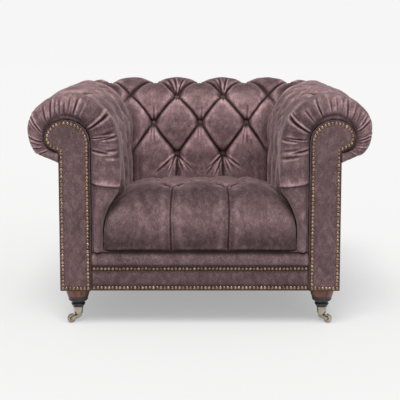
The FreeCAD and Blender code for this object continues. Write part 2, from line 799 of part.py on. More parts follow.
def wheel_solid():
    """A brass wheel with a raised rim and hub, turning on the axle."""
    half = wheel_width / 2
    bore = axle_radius + running_clearance
    rim, hub, dish, crown = wheel_radius * 0.70, axle_radius * 2.0, half * 0.80, wheel_radius * 0.93
    outline = [(bore, -half), (hub, -half), (hub, -dish), (rim, -dish), (rim, -half), (crown, -half),
               (wheel_radius, -half * 0.45), (wheel_radius, half * 0.45), (crown, half), (rim, half),
               (rim, dish), (hub, dish), (hub, half), (bore, half)]
    wheel = turned(outline)
    wheel.rotate(Vector(0, 0, 0), Vector(1, 0, 0), 90)
    wheel.translate(Vector(wheel_trail, 0, wheel_radius))
    return wheel


def build_feet():
    """The feet with their castors, each castor turned its own way."""
    names = ("front_left", "front_right", "rear_left", "rear_right")
    foot, cup, screw = foot_solid(), cup_solid(), cup_screw()
    fork, axle = fork_solids()
    wheel = wheel_solid()
    feet, cups, screws, parts = [], [], [], {}
    for name, (x, y) in zip(names, foot_places()):
        place = Vector(x, y, 0)
        out = 30.0 if x > 0 else -30.0
        screw_here = screw.copy()
        screw_here.rotate(Vector(0, 0, 0), Vector(0, 0, 1), out if y < 0 else 180.0 - out)
        bolt = Part.makeCylinder(foot_bolt_radius, foot_bolt_length,
                                 Vector(0, 0, frame_bottom + block_height - foot_bolt_length))
        for group, shape in ((feet, foot.cut(bolt).cut(screw_here)), (cups, cup.cut(screw_here)),
                             (screws, screw_here)):
            shape = shape.copy()
            shape.translate(place)
            group.append(shape)
        swivel = []
        for shape in (fork, axle, wheel):
            one = shape.copy()
            one.rotate(Vector(0, 0, 0), Vector(0, 0, 1), castor_turn[name])
            one.translate(place)
            swivel.append(one)
        parts[f"castor_fork_{name}"] = swivel[0]
        parts[f"castor_axle_{name}"] = swivel[1]
        parts[f"castor_wheel_{name}"] = swivel[2]
    parts["turned_feet"] = Part.makeCompound(feet)
    parts["castor_cups"] = Part.makeCompound(cups)
    parts["cup_screws"] = Part.makeCompound(screws)
    return parts


def main():
    os.makedirs("parts", exist_ok=True)
    parts = {}
    for build in (build_frame, build_seat_base, build_front, build_feet, build_pads):
        parts.update(build())
    for name, shape in sorted(parts.items()):
        for solid in shape.Solids:
            if not solid.isValid() or solid.Volume <= 0:
                print("check", name, solid.isValid(), solid.Volume)
        shape.exportStep(f"parts/{name}.step")
    print(len(parts), "nodes,", sum(len(shape.Solids) for shape in parts.values()), "solids")


main()
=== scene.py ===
# %% [markdown]
# # A chesterfield armchair in crushed velvet
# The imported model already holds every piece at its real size. This notebook dresses it: it keeps the nails,
# castors and frame as they are and gives them a finish, and it replaces the plain pads, borders, covers,
# buttons and feet with fuller ones. Everything is in metres, +Z is up and the chair faces -Y.

# %% Load the frame
import json
import math

import bmesh
import bpy
import numpy as np
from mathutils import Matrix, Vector, noise


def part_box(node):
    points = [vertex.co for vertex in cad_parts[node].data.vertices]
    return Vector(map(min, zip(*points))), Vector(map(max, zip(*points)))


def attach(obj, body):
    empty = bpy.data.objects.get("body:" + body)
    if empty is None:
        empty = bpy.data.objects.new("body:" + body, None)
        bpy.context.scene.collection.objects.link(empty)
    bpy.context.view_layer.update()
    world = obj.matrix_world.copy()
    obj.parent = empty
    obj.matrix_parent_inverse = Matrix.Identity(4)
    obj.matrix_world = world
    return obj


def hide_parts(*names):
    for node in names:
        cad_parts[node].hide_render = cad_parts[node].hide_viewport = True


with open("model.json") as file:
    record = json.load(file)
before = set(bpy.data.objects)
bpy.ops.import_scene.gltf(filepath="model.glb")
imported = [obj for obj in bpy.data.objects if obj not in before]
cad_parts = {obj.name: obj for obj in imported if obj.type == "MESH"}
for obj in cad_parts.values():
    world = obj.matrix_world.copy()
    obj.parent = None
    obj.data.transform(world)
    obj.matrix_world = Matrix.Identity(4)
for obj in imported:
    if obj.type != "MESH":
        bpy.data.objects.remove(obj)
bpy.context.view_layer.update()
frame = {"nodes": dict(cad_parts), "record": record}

# %% [markdown]
# ## Sizes from the frame
# A piece of upholstery goes where the frame says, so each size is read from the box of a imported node. A box
# can't tell the shape of the rolled section or the places of the buttons, so those are written here, with
# the same values as the frame's. A drop is counted down from the top of the roll or of the scroll.

# %% Sizes
pad_low, pad_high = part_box("inner_arm_pad_right")
facing_low, facing_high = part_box("arm_facing_right")

pad_inner, front_y, rail_top = pad_low
half_width, roll_top = pad_high[0], pad_high[2]
post_inner, facing_front, base_z = facing_low
scroll_outer, facing_back, scroll_top = facing_high
post_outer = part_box("outer_arm_cover_right")[1][0]
back_shift = half_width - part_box("inner_back_pad")[1][1]

pad_lower = 0.305
roll_apex, roll_widest, roll_spring, roll_tuck, roll_slope = 0.129, 0.117, 0.177, 0.224, 0.40
scroll_apex, scroll_widest, scroll_spring, scroll_tuck, scroll_slope = 0.065, 0.056, 0.072, 0.100, 0.45
button_pitch, row_pitch, button_rows = 0.175, 0.121, 4
arm_first_row, back_first_row, arm_first_button = 0.214, 0.229, 0.100
print("half width", half_width, "roll top", roll_top, "rail top", rail_top)

# %% [markdown]
# ## Camera
# The photograph is taken from straight in front, a little over the height of the back, from about 3 m. Its
# verticals stay upright, which a tilted camera would not give, so a part of the tilt is done with a lens
# shift, and only as much as the other views can bear. The distance, height and tilt are the ones that then
# put the chair's corners closest to where they are in the photograph.

# %% Camera
PHOTO_WIDTH, SENSOR_WIDTH = 400.0, 36.0
focal_px = 941.1
camera_distance, camera_height = 2.9034, 0.9251
lens_shift = 0.155
tilt = math.radians(6.34)

camera = bpy.data.objects.new("camera", bpy.data.cameras.new("camera"))
camera.data.sensor_width = SENSOR_WIDTH
camera.data.lens = focal_px / PHOTO_WIDTH * SENSOR_WIDTH
camera.data.shift_y = -lens_shift
camera.location = (0.0, facing_front - camera_distance, camera_height)
camera.rotation_euler = (math.pi / 2 - tilt, 0.0, 0.0)
bpy.context.collection.objects.link(camera)
bpy.context.scene.camera = camera
print("lens", round(camera.data.lens, 1), "tilt", round(math.degrees(tilt), 2))

# %% [markdown]
# ## Helpers for node trees
# Light and finishes are both small trees of nodes. A few helpers keep them readable: one adds a node with
# its values, one links sockets, and one starts a material on a Principled shader.

# %% Node helpers
def set_inputs(node, **inputs):
    """Sets a node's input values by name; an underscore stands for a space."""
    for key, value in inputs.items():
        node.inputs[key.replace("_", " ")].default_value = value


def add(tree, kind, settings=None, **inputs):
    """Adds a node, sets its properties and its input values."""
    node = tree.nodes.new(kind)
    for key, value in (settings or {}).items():
        setattr(node, key, value)
    set_inputs(node, **inputs)
    return node


def link(tree, *pairs):
    """Links sockets, given as (from, to) pairs."""
    for source, target in pairs:
        tree.links.new(source, target)


def material(name):
    """A new node material, its node tree and its shader."""
    made = bpy.data.materials.new(name)
    made.use_nodes = True
    return made, made.node_tree, made.node_tree.nodes["Principled BSDF"]


def opaque(colour):
    """A colour with the alpha that colour sockets want."""
    return (*colour, 1.0)


print("helpers ready:", *(tool.__name__ for tool in (set_inputs, add, link, material, opaque)))

# %% [markdown]
# ## Light
# A studio picture of this kind is lit by large soft sources. The world gives the even part, at a level that
# leaves colours about as they are written, and two wide suns give the modelling: a key from above and in
# front, and a weak fill from the left. The camera sees the backdrop's own colour in place of the world's
# light.

# %% World and suns
BACKDROP = (0.922, 0.922, 0.922)
world_level, world_tint = 0.48, (1.0, 0.98, 0.965)


def build_world():
    world = bpy.data.worlds.new("studio")
    world.use_nodes = True
    tree = world.node_tree
    tree.nodes.clear()
    path = add(tree, "ShaderNodeLightPath")
    seen = add(tree, "ShaderNodeMath", {"operation": "MAXIMUM"})
    plain = add(tree, "ShaderNodeBackground", Color=opaque(world_tint), Strength=world_level)
    shown = add(tree, "ShaderNodeBackground", Color=opaque(BACKDROP))
    mix = add(tree, "ShaderNodeMixShader")
    out = add(tree, "ShaderNodeOutputWorld")
    link(tree, (path.outputs["Is Camera Ray"], seen.inputs[0]),
         (path.outputs["Is Transmission Ray"], seen.inputs[1]),
         (seen.outputs[0], mix.inputs["Fac"]), (plain.outputs[0], mix.inputs[1]),
         (shown.outputs[0], mix.inputs[2]), (mix.outputs[0], out.inputs["Surface"]))
    bpy.context.scene.world = world


def sun(name, strength, width_deg, towards, colour):
    """A wide sun that shines along the direction towards."""
    lamp = bpy.data.lights.new(name, "SUN")
    lamp.energy = strength
    lamp.angle = math.radians(width_deg)
    lamp.color = colour
    obj = bpy.data.objects.new(name, lamp)
    obj.rotation_euler = Vector(towards).to_track_quat("-Z", "Y").to_euler()
    bpy.context.collection.objects.link(obj)


build_world()
sun("key", strength=2.05, width_deg=34.0, towards=(0.09, 0.50, -1.0), colour=(1.0, 0.985, 0.965))
sun("fill", strength=0.50, width_deg=50.0, towards=(-0.30, 0.90, -0.50), colour=(0.97, 0.98, 1.0))
bpy.context.scene.view_settings.view_transform = "Standard"
print("world level", world_level, "suns", len(bpy.data.lights))

# %% [markdown]
# ## Floor
# The floor is as pale as the backdrop, so the two run into each other, and it keeps the chair's soft
# shadow. Its shader is matt, and what the camera sees of it is mixed with the backdrop's colour, so that
# the shadow stays as light as in the photograph while no more light falls on the chair.

# %% Floor
floor_size, floor_paleness = 24.0, 0.39
FLOOR_GREY = (0.822, 0.836, 0.846)


def build_floor():
    mesh = bpy.data.meshes.new("floor")
    bm = bmesh.new()
    bmesh.ops.create_grid(bm, x_segments=8, y_segments=8, size=floor_size)
    bm.to_mesh(mesh)
    bm.free()
    made = bpy.data.objects.new("floor", mesh)
    bpy.context.collection.objects.link(made)
    return made


def pale_floor():
    made, tree, shader = material("pale_floor")
    set_inputs(shader, Base_Color=opaque(FLOOR_GREY), Roughness=1.0, Specular_IOR_Level=0.0)
    glow = add(tree, "ShaderNodeEmission", Color=opaque(BACKDROP))
    path = add(tree, "ShaderNodeLightPath")
    share = add(tree, "ShaderNodeMath", {"operation": "MULTIPLY"})
    share.inputs[1].default_value = floor_paleness
    mix = add(tree, "ShaderNodeMixShader")
    link(tree, (path.outputs["Is Camera Ray"], share.inputs[0]), (share.outputs[0], mix.inputs["Fac"]),
         (shader.outputs[0], mix.inputs[1]), (glow.outputs[0], mix.inputs[2]),
         (mix.outputs[0], tree.nodes["Material Output"].inputs["Surface"]))
    return made


floor = build_floor()
floor.data.materials.append(pale_floor())
print("floor", 2 * floor_size, "m wide")

# %% [markdown]
# ## Patterns
# A pattern could be painted, but noise needs no picture and has no seams. All patterns here read Object
# coordinates, which are metres, so a noise scale of 100 has features about a centimetre across. A ramp
# turns the noise into colours, and bump nodes turn it into relief.

# %% Pattern helpers
def grain(tree, scale, detail=2.0, distortion=0.0, stretch=None):
    """Noise on Object coordinates, with features about 1/scale metres across."""
    source = add(tree, "ShaderNodeTexCoord").outputs["Object"]
    if stretch:
        mapping = add(tree, "ShaderNodeMapping", Scale=stretch)
        link(tree, (source, mapping.inputs["Vector"]))
        source = mapping.outputs["Vector"]
    made = add(tree, "ShaderNodeTexNoise", Scale=scale, Detail=detail, Distortion=distortion)
    link(tree, (source, made.inputs["Vector"]))
    return made.outputs["Fac"]


def ramp(tree, source, stops):
    """A colour ramp over source; stops are (position, colour)."""
    node = add(tree, "ShaderNodeValToRGB")
    elements = node.color_ramp.elements
    while len(elements) < len(stops):
        elements.new(0.5)
    for element, (position, colour) in zip(elements, stops):
        element.position = position
        element.color = opaque(colour)
    link(tree, (source, node.inputs["Fac"]))
    return node.outputs["Color"]


def blend_colours(tree, kind, factor, first, second):
    """Mixes two colours, each a tuple or a socket; factor is a number or a socket."""
    node = add(tree, "ShaderNodeMix", {"data_type": "RGBA", "blend_type": kind})
    if isinstance(factor, (int, float)):
        node.inputs["Factor"].default_value = factor
    else:
        link(tree, (factor, node.inputs["Factor"]))
    for socket, value in ((node.inputs[6], first), (node.inputs[7], second)):
        if isinstance(value, tuple):
            socket.default_value = opaque(value)
        else:
            link(tree, (value, socket))
    return node.outputs[2]


def bump(tree, shader, layers):
    """Chains bump nodes; each layer is (height socket, strength, distance in metres)."""
    last = None
    for height, strength, distance in layers:
        node = add(tree, "ShaderNodeBump", Strength=strength, Distance=distance)
        link(tree, (height, node.inputs["Height"]))
        if last:
            link(tree, (last.outputs["Normal"], node.inputs["Normal"]))
        last = node
    link(tree, (last.outputs["Normal"], shader.inputs["Normal"]))


def grey(level):
    return (level, level, level)


print("patterns ready:", *(tool.__name__ for tool in (grain, ramp, blend_colours, bump, grey)))

# %% [markdown]
# ## Velvet
# Crushed velvet is a short pile that leans every way. Where it leans towards the eye it looks dark and
# rich, and where it leans away its edges catch the light, so one dye shows as patches of plum and silver.
# Sheen gives the light edge, a coarse noise gives the patches, and a fine one the pile itself. The pads
# carry an attribute of painted light and shade, from -0.5 in a crease, a painted shade, to 0.5 on a fold's
# edge, a painted highlight. A piece without it reads 0, which changes nothing. Each group of pieces has its
# own lightness, a painted light and shade that makes lit and shaded copies of one velvet.

# %% Velvet
PLUM_DARK = (0.062, 0.034, 0.038)
PLUM = (0.145, 0.090, 0.095)
PLUM_LIGHT = (0.300, 0.215, 0.222)
CREASE_SHADE, RIDGE_SHADE = (0.24, 0.21, 0.21), (2.4, 2.45, 2.45)
SHEEN_TINT = (0.95, 0.76, 0.78)
patch_dark, patch_light = 0.76, 1.26


def velvet(name, painted_lightness):
    made, tree, shader = material(name)
    patches = grain(tree, 10.0, detail=3.0, distortion=1.2)
    brushed = grain(tree, 70.0, detail=4.0, distortion=0.8, stretch=(1.0, 1.0, 0.7))
    pile = grain(tree, 330.0, detail=3.0)
    wide = ramp(tree, patches, [(0.30, tuple(patch_dark * c for c in PLUM)),
                                (0.70, tuple(patch_light * c for c in PLUM))])
    close = ramp(tree, brushed, [(0.30, PLUM_DARK), (0.50, PLUM), (0.72, PLUM_LIGHT)])
    fibres = ramp(tree, pile, [(0.32, grey(0.50)), (0.68, grey(1.42))])
    colour = blend_colours(tree, "MIX", 0.36, wide, close)
    colour = blend_colours(tree, "MULTIPLY", 0.70, colour, fibres)
    colour = blend_colours(tree, "MULTIPLY", 1.0, colour, grey(painted_lightness))
    painted_light = add(tree, "ShaderNodeAttribute", {"attribute_name": "light_and_shade"})
    level = add(tree, "ShaderNodeMapRange", From_Min=-0.5, From_Max=0.5)
    link(tree, (painted_light.outputs["Fac"], level.inputs["Value"]))
    # Painted shade darkens the creases and a painted highlight lightens the fold edges.
    shade = ramp(tree, level.outputs["Result"], [(0.0, CREASE_SHADE), (0.5, grey(1.0)), (1.0, RIDGE_SHADE)])
    colour = blend_colours(tree, "MULTIPLY", 1.0, colour, shade)
    link(tree, (colour, shader.inputs["Base Color"]))
    set_inputs(shader, Roughness=0.75, Specular_IOR_Level=0.08, Sheen_Weight=0.38, Sheen_Roughness=0.36,
               Sheen_Tint=opaque(SHEEN_TINT))
    bump(tree, shader, [(patches, 0.30, 0.010), (brushed, 0.40, 0.0035), (pile, 0.40, 0.0011)])
    return made


# Lit and shaded copies of one velvet: painted light for the back and arms, painted shade for the seat, the
# flat pieces and the borders.
VELVET_PAD = velvet("crushed_velvet_arms", 1.08)
VELVET_BACK = velvet("crushed_velvet_back", 1.30)
VELVET_SEAT = velvet("crushed_velvet_seat", 0.71)
VELVET_FLAT = velvet("crushed_velvet_flat", 0.85)
VELVET_BAND = velvet("crushed_velvet_borders", 0.54)
print("velvets", [made.name for made in bpy.data.materials if made.name.startswith("crushed")])

# %% [markdown]
# ## Metals
# The nails are antique brass, dipped dark and rubbed bright on the dome, and the castors are paler and more
# polished. One noise moves both the colour and the roughness, since tarnish is dark and dull at once.

# %% Metals
def metal(name, bright, dull, roughness, scale):
    made, tree, shader = material(name)
    cloud = grain(tree, scale, detail=3.0, distortion=0.5)
    dullness = add(tree, "ShaderNodeMapRange", To_Min=roughness * 0.8, To_Max=roughness * 1.3)
    link(tree, (ramp(tree, cloud, [(0.34, dull), (0.66, bright)]), shader.inputs["Base Color"]),
         (cloud, dullness.inputs["Value"]), (dullness.outputs["Result"], shader.inputs["Roughness"]))
    set_inputs(shader, Metallic=1.0)
    bump(tree, shader, [(grain(tree, scale * 6), 0.2, 0.0002)])
    return made


NAIL_BRASS = metal("antique_nail_brass", (0.45, 0.315, 0.210), (0.13, 0.075, 0.048), 0.26, 90.0)
CASTOR_BRASS = metal("aged_castor_brass", (0.63, 0.56, 0.46), (0.34, 0.295, 0.23), 0.24, 70.0)
SPRING_STEEL = metal("drawn_spring_steel", (0.55, 0.55, 0.56), (0.35, 0.34, 0.34), 0.35, 120.0)
print("metals", NAIL_BRASS.name, CASTOR_BRASS.name, SPRING_STEEL.name)

# %% [markdown]
# ## Wood
# The feet are red-brown on the flare and rubbed to black on the turned rings under it, under a thin
# lacquer, so their colour changes with height; a band at the top of the flare, under the base, is painted
# black as shade. The frame inside is beech, coloured dark brown as a painted shade where it shows between
# the pads, and the boards behind the pads are fibre board. Noise that is stretched along Z makes the grain.

# %% Wood
FOOT_BROWN_DARK, FOOT_BROWN_LIGHT = (0.080, 0.024, 0.012), (0.240, 0.078, 0.034)
FOOT_BLACK = (0.022, 0.016, 0.018)
lacquer_roughness = 0.15
flare_low, flare_high = 0.080, 0.115


def wood(name, light, dark, roughness, stretch, scale=60.0):
    made, tree, shader = material(name)
    rings = grain(tree, scale, detail=4.0, distortion=1.5, stretch=stretch)
    link(tree, (ramp(tree, rings, [(0.32, dark), (0.68, light)]), shader.inputs["Base Color"]))
    set_inputs(shader, Roughness=roughness)
    bump(tree, shader, [(rings, 0.15, 0.0006)])
    return made


def foot_lacquer(name):
    made, tree, shader = material(name)
    rings = grain(tree, 70.0, detail=4.0, distortion=1.5, stretch=(1.0, 1.0, 0.15))
    brown = ramp(tree, rings, [(0.32, FOOT_BROWN_DARK), (0.68, FOOT_BROWN_LIGHT)])
    place = add(tree, "ShaderNodeTexCoord")
    parts = add(tree, "ShaderNodeSeparateXYZ")
    level = add(tree, "ShaderNodeMapRange", From_Min=flare_low, From_Max=flare_high)
    link(tree, (place.outputs["Object"], parts.inputs[0]), (parts.outputs["Z"], level.inputs["Value"]))
    # Black under the flare is the rings' own finish; the black band above the flare, under the base, is
    # painted shade.
    brown_flare_mask = ramp(tree, level.outputs["Result"], [(0.19, grey(0.0)), (0.24, grey(1.0)),
                                                (0.77, grey(1.0)), (0.83, grey(0.0))])
    link(tree, (blend_colours(tree, "MIX", brown_flare_mask, FOOT_BLACK, brown), shader.inputs["Base Color"]))
    set_inputs(shader, Roughness=0.38, Coat_Weight=0.15, Coat_Roughness=lacquer_roughness)
    bump(tree, shader, [(rings, 0.12, 0.0005)])
    return made


FOOT_WOOD = foot_lacquer("lacquered_foot_wood")
# The frame's beech is coloured dark as a painted shade where it shows between the pads.
FRAME_WOOD = wood("beech_dark_as_painted_shade", (0.21, 0.125, 0.075), (0.12, 0.068, 0.040), 0.62, (0.12, 0.12, 1.0))
LINER_BOARD = wood("fibre_board", (0.22, 0.165, 0.120), (0.14, 0.100, 0.070), 0.9, (1.0, 1.0, 1.0), 180.0)
print("woods", FOOT_WOOD.name, FRAME_WOOD.name, LINER_BOARD.name)

# %% [markdown]
# ## Cloth under the seat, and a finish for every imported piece
# A brick pattern with thin joints stands for the weave of the deck's hessian and of the black dust cover.
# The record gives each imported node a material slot, so one table from slot to finish dresses them all.

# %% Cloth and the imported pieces
def woven(name, light, dark, scale):
    made, tree, shader = material(name)
    threads = add(tree, "ShaderNodeTexBrick", Scale=scale, Color1=opaque(light), Color2=opaque(light),
                  Mortar=opaque(dark))
    link(tree, (add(tree, "ShaderNodeTexCoord").outputs["Object"], threads.inputs["Vector"]))
    fuzz = grain(tree, scale * 2, detail=3.0)
    soft = ramp(tree, fuzz, [(0.3, grey(0.6)), (0.7, grey(1.1))])
    link(tree, (blend_colours(tree, "MULTIPLY", 0.6, threads.outputs["Color"], soft),
                shader.inputs["Base Color"]))
    set_inputs(shader, Roughness=0.95)
    bump(tree, shader, [(fuzz, 0.3, 0.0008)])
    return made


finishes = {
    "velvet": VELVET_FLAT, "nail_brass": NAIL_BRASS, "castor_brass": CASTOR_BRASS, "foot_wood": FOOT_WOOD,
    "spring_steel": SPRING_STEEL, "liner_board": LINER_BOARD, "frame_wood": FRAME_WOOD,
    "dust_cloth": woven("black_dust_cloth", (0.020, 0.020, 0.022), (0.008, 0.008, 0.008), 300.0),
    "deck_felt": woven("hessian_deck", (0.36, 0.29, 0.20), (0.16, 0.12, 0.08), 140.0),
}
slot_of = {row["node"]: row["material_slot"] for row in frame["record"]["subparts"]}
for name, node in frame["nodes"].items():
    node.data.materials.clear()
    node.data.materials.append(finishes[slot_of[name]])
print("finished", len(frame["nodes"]), "nodes")

# %% [markdown]
# ## The rolled section
# Arms and back share one section: up the inner face, over the roll, round its nose and back in to the post.
# Two quarter ellipses and a bend draw it. The scroll of the facing is the same hook drawn smaller, so a
# point on one has its partner on the other, which is what the front of the roll needs to turn in to the
# facing.

# %% Curves
SAMPLES = 160
round_weight, bend_weight, bend_share = math.sqrt(0.5), 0.80, 0.40
tiny = 1e-12


def smooth(x):
    """An even step from 0 to 1 as x goes from 0 to 1."""
    x = np.clip(x, 0.0, 1.0)
    return x * x * (3.0 - 2.0 * x)


def bell(x, width):
    """1 where x is 0, falling away over width."""
    return np.exp(-(x / width) ** 2)


def travelled(points):
    """The length along a line of points, from 0 at its start."""
    steps = np.linalg.norm(np.diff(points, axis=0), axis=1)
    return np.concatenate([[0.0], np.cumsum(steps)])


def spread(down, across):
    """Two grids, of the values down the rows and of the values across the columns."""
    return np.meshgrid(down, across, indexing="ij")


def conic(start, corner, end, weight):
    """Points on a smooth bend from start to end, tangent to the lines through corner."""
    t = np.linspace(0.0, 1.0, SAMPLES)[:, None]
    a, b, c = (1.0 - t) ** 2, 2.0 * weight * t * (1.0 - t), t ** 2
    return (a * np.array(start) + b * np.array(corner) + c * np.array(end)) / (a + b + c)


def hook(inner, post, outer, apex_in, top, widest, spring, tuck, slope):
    """Points of a rolled outline in (w, z), from the inner spring point over the top to the tuck."""
    apex = outer - apex_in
    tuck_point = np.array((post, top - tuck))
    corner = tuck_point + (outer - post) * np.array((1.0, slope))
    end = tuck_point + (corner - tuck_point) * (1.0 - bend_share)
    return [
        conic((inner, top - spring), (inner, top), (apex, top), round_weight),
        conic((apex, top), (outer, top), (outer, top - widest), round_weight),
        conic((outer, top - widest), corner, end, bend_weight),
        np.linspace(end, tuck_point, SAMPLES),
    ]


roll_hook = hook(pad_inner, post_outer, half_width, roll_apex, roll_top, roll_widest, roll_spring,
                 roll_tuck, roll_slope)
scroll_hook = hook(post_inner, post_outer, scroll_outer, scroll_apex, scroll_top, scroll_widest,
                   scroll_spring, scroll_tuck, scroll_slope)
print("roll over", round(half_width - post_outer, 3), "m past the post")

# %% [markdown]
# Beside the seat the pad is fuller, and it swells in between two heights, which differ for the arms and the
# back. A section keeps the outline as a table against the length along it, which is how cloth measures it.

# %% Sections
lining_rows = 14


class Section:
    """The outer outline of a pad, its outward normals and its partner points on the scroll."""

    def __init__(self, swell_low, swell_high):
        rise = np.linspace(0.0, 1.0, 3 * SAMPLES)
        z = rail_top + rise * (roll_top - roll_spring - rail_top)
        swell = 1.0 - (1.0 - np.clip((rail_top + swell_high - z) / (swell_high - swell_low), 0.0, 1.0)) ** 2
        face = np.stack([pad_inner + (pad_lower - pad_inner) * swell, z], axis=1)
        core_z = rail_top + rise * (scroll_top - scroll_spring - rail_top)
        core_face = np.stack([np.full_like(z, post_inner), core_z], axis=1)
        self.outer = np.concatenate([face] + [piece[1:] for piece in roll_hook])
        self.core = np.concatenate([core_face] + [piece[1:] for piece in scroll_hook])
        self.reach = travelled(self.outer)
        self.length = self.reach[-1]
        self.normal = self.normals(self.outer)
        self.core_normal = self.normals(self.core)

    @staticmethod
    def normals(points):
        along = np.gradient(points, axis=0)
        along /= np.linalg.norm(along, axis=1)[:, None] + tiny
        return np.stack([-along[:, 1], along[:, 0]], axis=1)

    def read(self, table, s):
        """The (w, z) of a table at the lengths s, which may be a number or a grid."""
        return np.stack([np.interp(s, self.reach, table[:, axis]) for axis in (0, 1)], axis=-1)

    def height_at(self, z):
        """Length along the outline at which its inner face reaches z, up to the crown."""
        crown = 4 * SAMPLES - 1
        return float(np.interp(z, self.outer[:crown, 1], self.reach[:crown]))

    def width_at(self, s):
        return float(np.interp(s, self.reach, self.outer[:, 0]))

    def row_lengths(self, first_row):
        """Length along the outline of each row of buttons, lowest first."""
        start = self.height_at(rail_top + first_row)
        return [start + row * row_pitch for row in range(button_rows)]

    def lining(self, columns, lift):
        """The pad's inner side, from its last row back to its first: rows of (w, z) on the wood."""
        s, _ = spread(np.linspace(1.0, 0.0, lining_rows) * self.length, np.zeros(columns + 1))
        core = self.read(self.core, s) + lift * self.read(self.core_normal, s)
        core[:, :, 1] = np.maximum(core[:, :, 1], rail_top)
        return core


arm_section = Section(swell_low=0.059, swell_high=0.187)
back_section = Section(swell_low=0.040, swell_high=0.125)
print("arm outline", round(arm_section.length, 3), "m, back outline", round(back_section.length, 3), "m")

# %% [markdown]
# ## Deep buttoning
# Buttons pull the cover down on a diamond lattice. Between four buttons the stuffing swells into a pillow,
# and along each side of the diamond the spare cloth is folded into a crease. The product of two sine waves
# across the diamond is zero along its sides and one in its middle, and a small power of it is a full pillow
# with a sharp crease. Past the last row of buttons the creases run on straight, which comes out by itself
# if the height in the lattice stops there. A cloth simulation could find these forms too, but would need
# minutes.

# %% Pillows and dimples
fullness = 0.36


def pillow(x, v, front=False):
    """0 in the creases, 1 on the pillows; x counts pitches, v counts pairs of rows down from the last row."""
    v = np.clip(v, -(button_rows - 1) / 2.0, 0.0)
    full = np.abs(np.cos(2 * np.pi * v) - np.cos(2 * np.pi * x)) / 2.0
    if not front:
        return full
    ahead = -np.abs(v - np.round(v)) - x
    opened = smooth(ahead / 0.35)
    rib = np.abs(np.sin(2 * np.pi * v)) * (1.0 - opened) + opened
    return np.where(ahead > 0.0, np.sin(np.pi * np.clip(ahead, 0.0, 0.5)) * rib, full)


def dimples(x, s, places, depth, radius=0.021):
    """How far the cover drops towards each button; places are (x, s, row)."""
    drop = np.zeros_like(x)
    for bx, bs, _ in places:
        drop -= depth * np.exp(-(np.hypot(x - bx, s - bs) / radius) ** 1.5)
    return drop


def soft_noise(points, size, seed):
    """Smooth noise from about -1 to 1, with features about size across."""
    shift = Vector((7.3 * seed, 3.1 * seed, 5.7 * seed))
    flat = points.reshape(-1, 3) / size
    return np.array([noise.noise(Vector(p) + shift) for p in flat]).reshape(points.shape[:-1])


def noise_place(x, y, z=0.0):
    """Points for noise that is stretched, with one number per direction."""
    return np.stack([x, y, z + 0 * x], axis=2)


def painted_crease_light(raised, base, seed):
    """Painted shade along a crease and a painted highlight beside it, stronger here and weaker there."""
    bright = 0.17 * bell(raised - 0.22, 0.10) * (1.0 + 0.9 * soft_noise(base, 0.06, seed))
    return bright - 0.30 * bell(raised, 0.07)


print("one pillow is", button_pitch, "by", 2 * row_pitch, "m")

# %% [markdown]
# ## Folds
# Where a button pulls, the cloth puckers into folds that fan out of it. Each is a straight or slightly
# bowed line with the shape of a pressed fold across it: a narrow valley and a lip. Their lengths and angles
# are drawn at random from a fixed seed, so no two buttons are alike and each run is.

# %% Folds
random_state = np.random.RandomState(7)


def draw(low, high):
    return float(random_state.uniform(low, high))


def fold(q):
    """A pressed fold across its own width: a narrow valley with a lip on one side."""
    return -np.exp(-(q * 1.25) ** 2) + 0.70 * bell(q - 1.7, 0.95) + 0.25 * bell(q + 1.8, 1.1)


def fold_height(x, s, folds):
    """Height of a list of folds; each is (x0, s0, x1, s1, depth, width, bow, fade in, fade out)."""
    height = np.zeros_like(x)
    for x0, s0, x1, s1, depth, width, bow, fade_in, fade_out in folds:
        length = math.hypot(x1 - x0, s1 - s0)
        ax, az = (x1 - x0) / length, (s1 - s0) / length
        along = ((x - x0) * ax + (s - s0) * az) / length
        across = (x - x0) * az - (s - s0) * ax - bow * np.sin(np.pi * np.clip(along, 0.0, 1.0))
        near = (along > 0.0) & (along < 1.0) & (np.abs(across) < 5.0 * width)
        a, q = along[near], across[near] / width
        height[near] += depth * fold(q) * smooth(a / fade_in) * smooth((1.0 - a) / fade_out)
    return height


def fan(bx, bs, angles, shortest, longest, depth):
    """Folds that fan out of one button; angles are in degrees from straight up the section."""
    made = []
    for angle in angles:
        turn = math.radians(angle + draw(-5, 5))
        length = draw(shortest, longest)
        made.append((bx, bs, bx + length * math.sin(turn), bs + length * math.cos(turn),
                     depth * draw(0.7, 1.2), draw(0.0030, 0.0046), draw(-0.004, 0.004), 0.15, 0.6))
    return made


def fans_at(places, fans):
    """The folds of all buttons; fans gives each row's as (angles, shortest, longest, depth)."""
    made = []
    for bx, bs, row in places:
        for angles, shortest, longest, depth in fans[min(row, len(fans) - 1)]:
            made += fan(bx, bs, angles, shortest, longest, depth)
    return made


def row_across(row, limit):
    """Where a row's buttons go across the chair, from the middle out; odd rows have one in the middle."""
    x = (1 - row % 2) * button_pitch / 2
    places = []
    while x < limit:
        places += [x, -x] if x else [x]
        x += button_pitch
    return places


print("a fold from side to side", [round(float(fold(q)), 2) for q in (-3.0, -2.0, -1.0, 0.0, 1.0, 2.0, 3.0)])

# %% [markdown]
# ## Building a pad from a grid
# A pad starts as a plane of cells, made by the grid operator, and each vertex moves to its place: first on
# the smooth surface, then out or in by the height of pillows, creases and folds. A few more rows close it
# behind, and its two ends are capped, so it is one closed solid. The relief, less its own blurred copy,
# tells ridges from creases, and goes into an attribute that the velvet reads: a painted shade in the
# creases and a painted highlight on the ridges.

# %% Pads
STEP = 0.0026
crease_reach = 0.013
ridge_height, crease_depth = 0.0045, 0.010
weld, tiniest = 1e-6, 1e-15


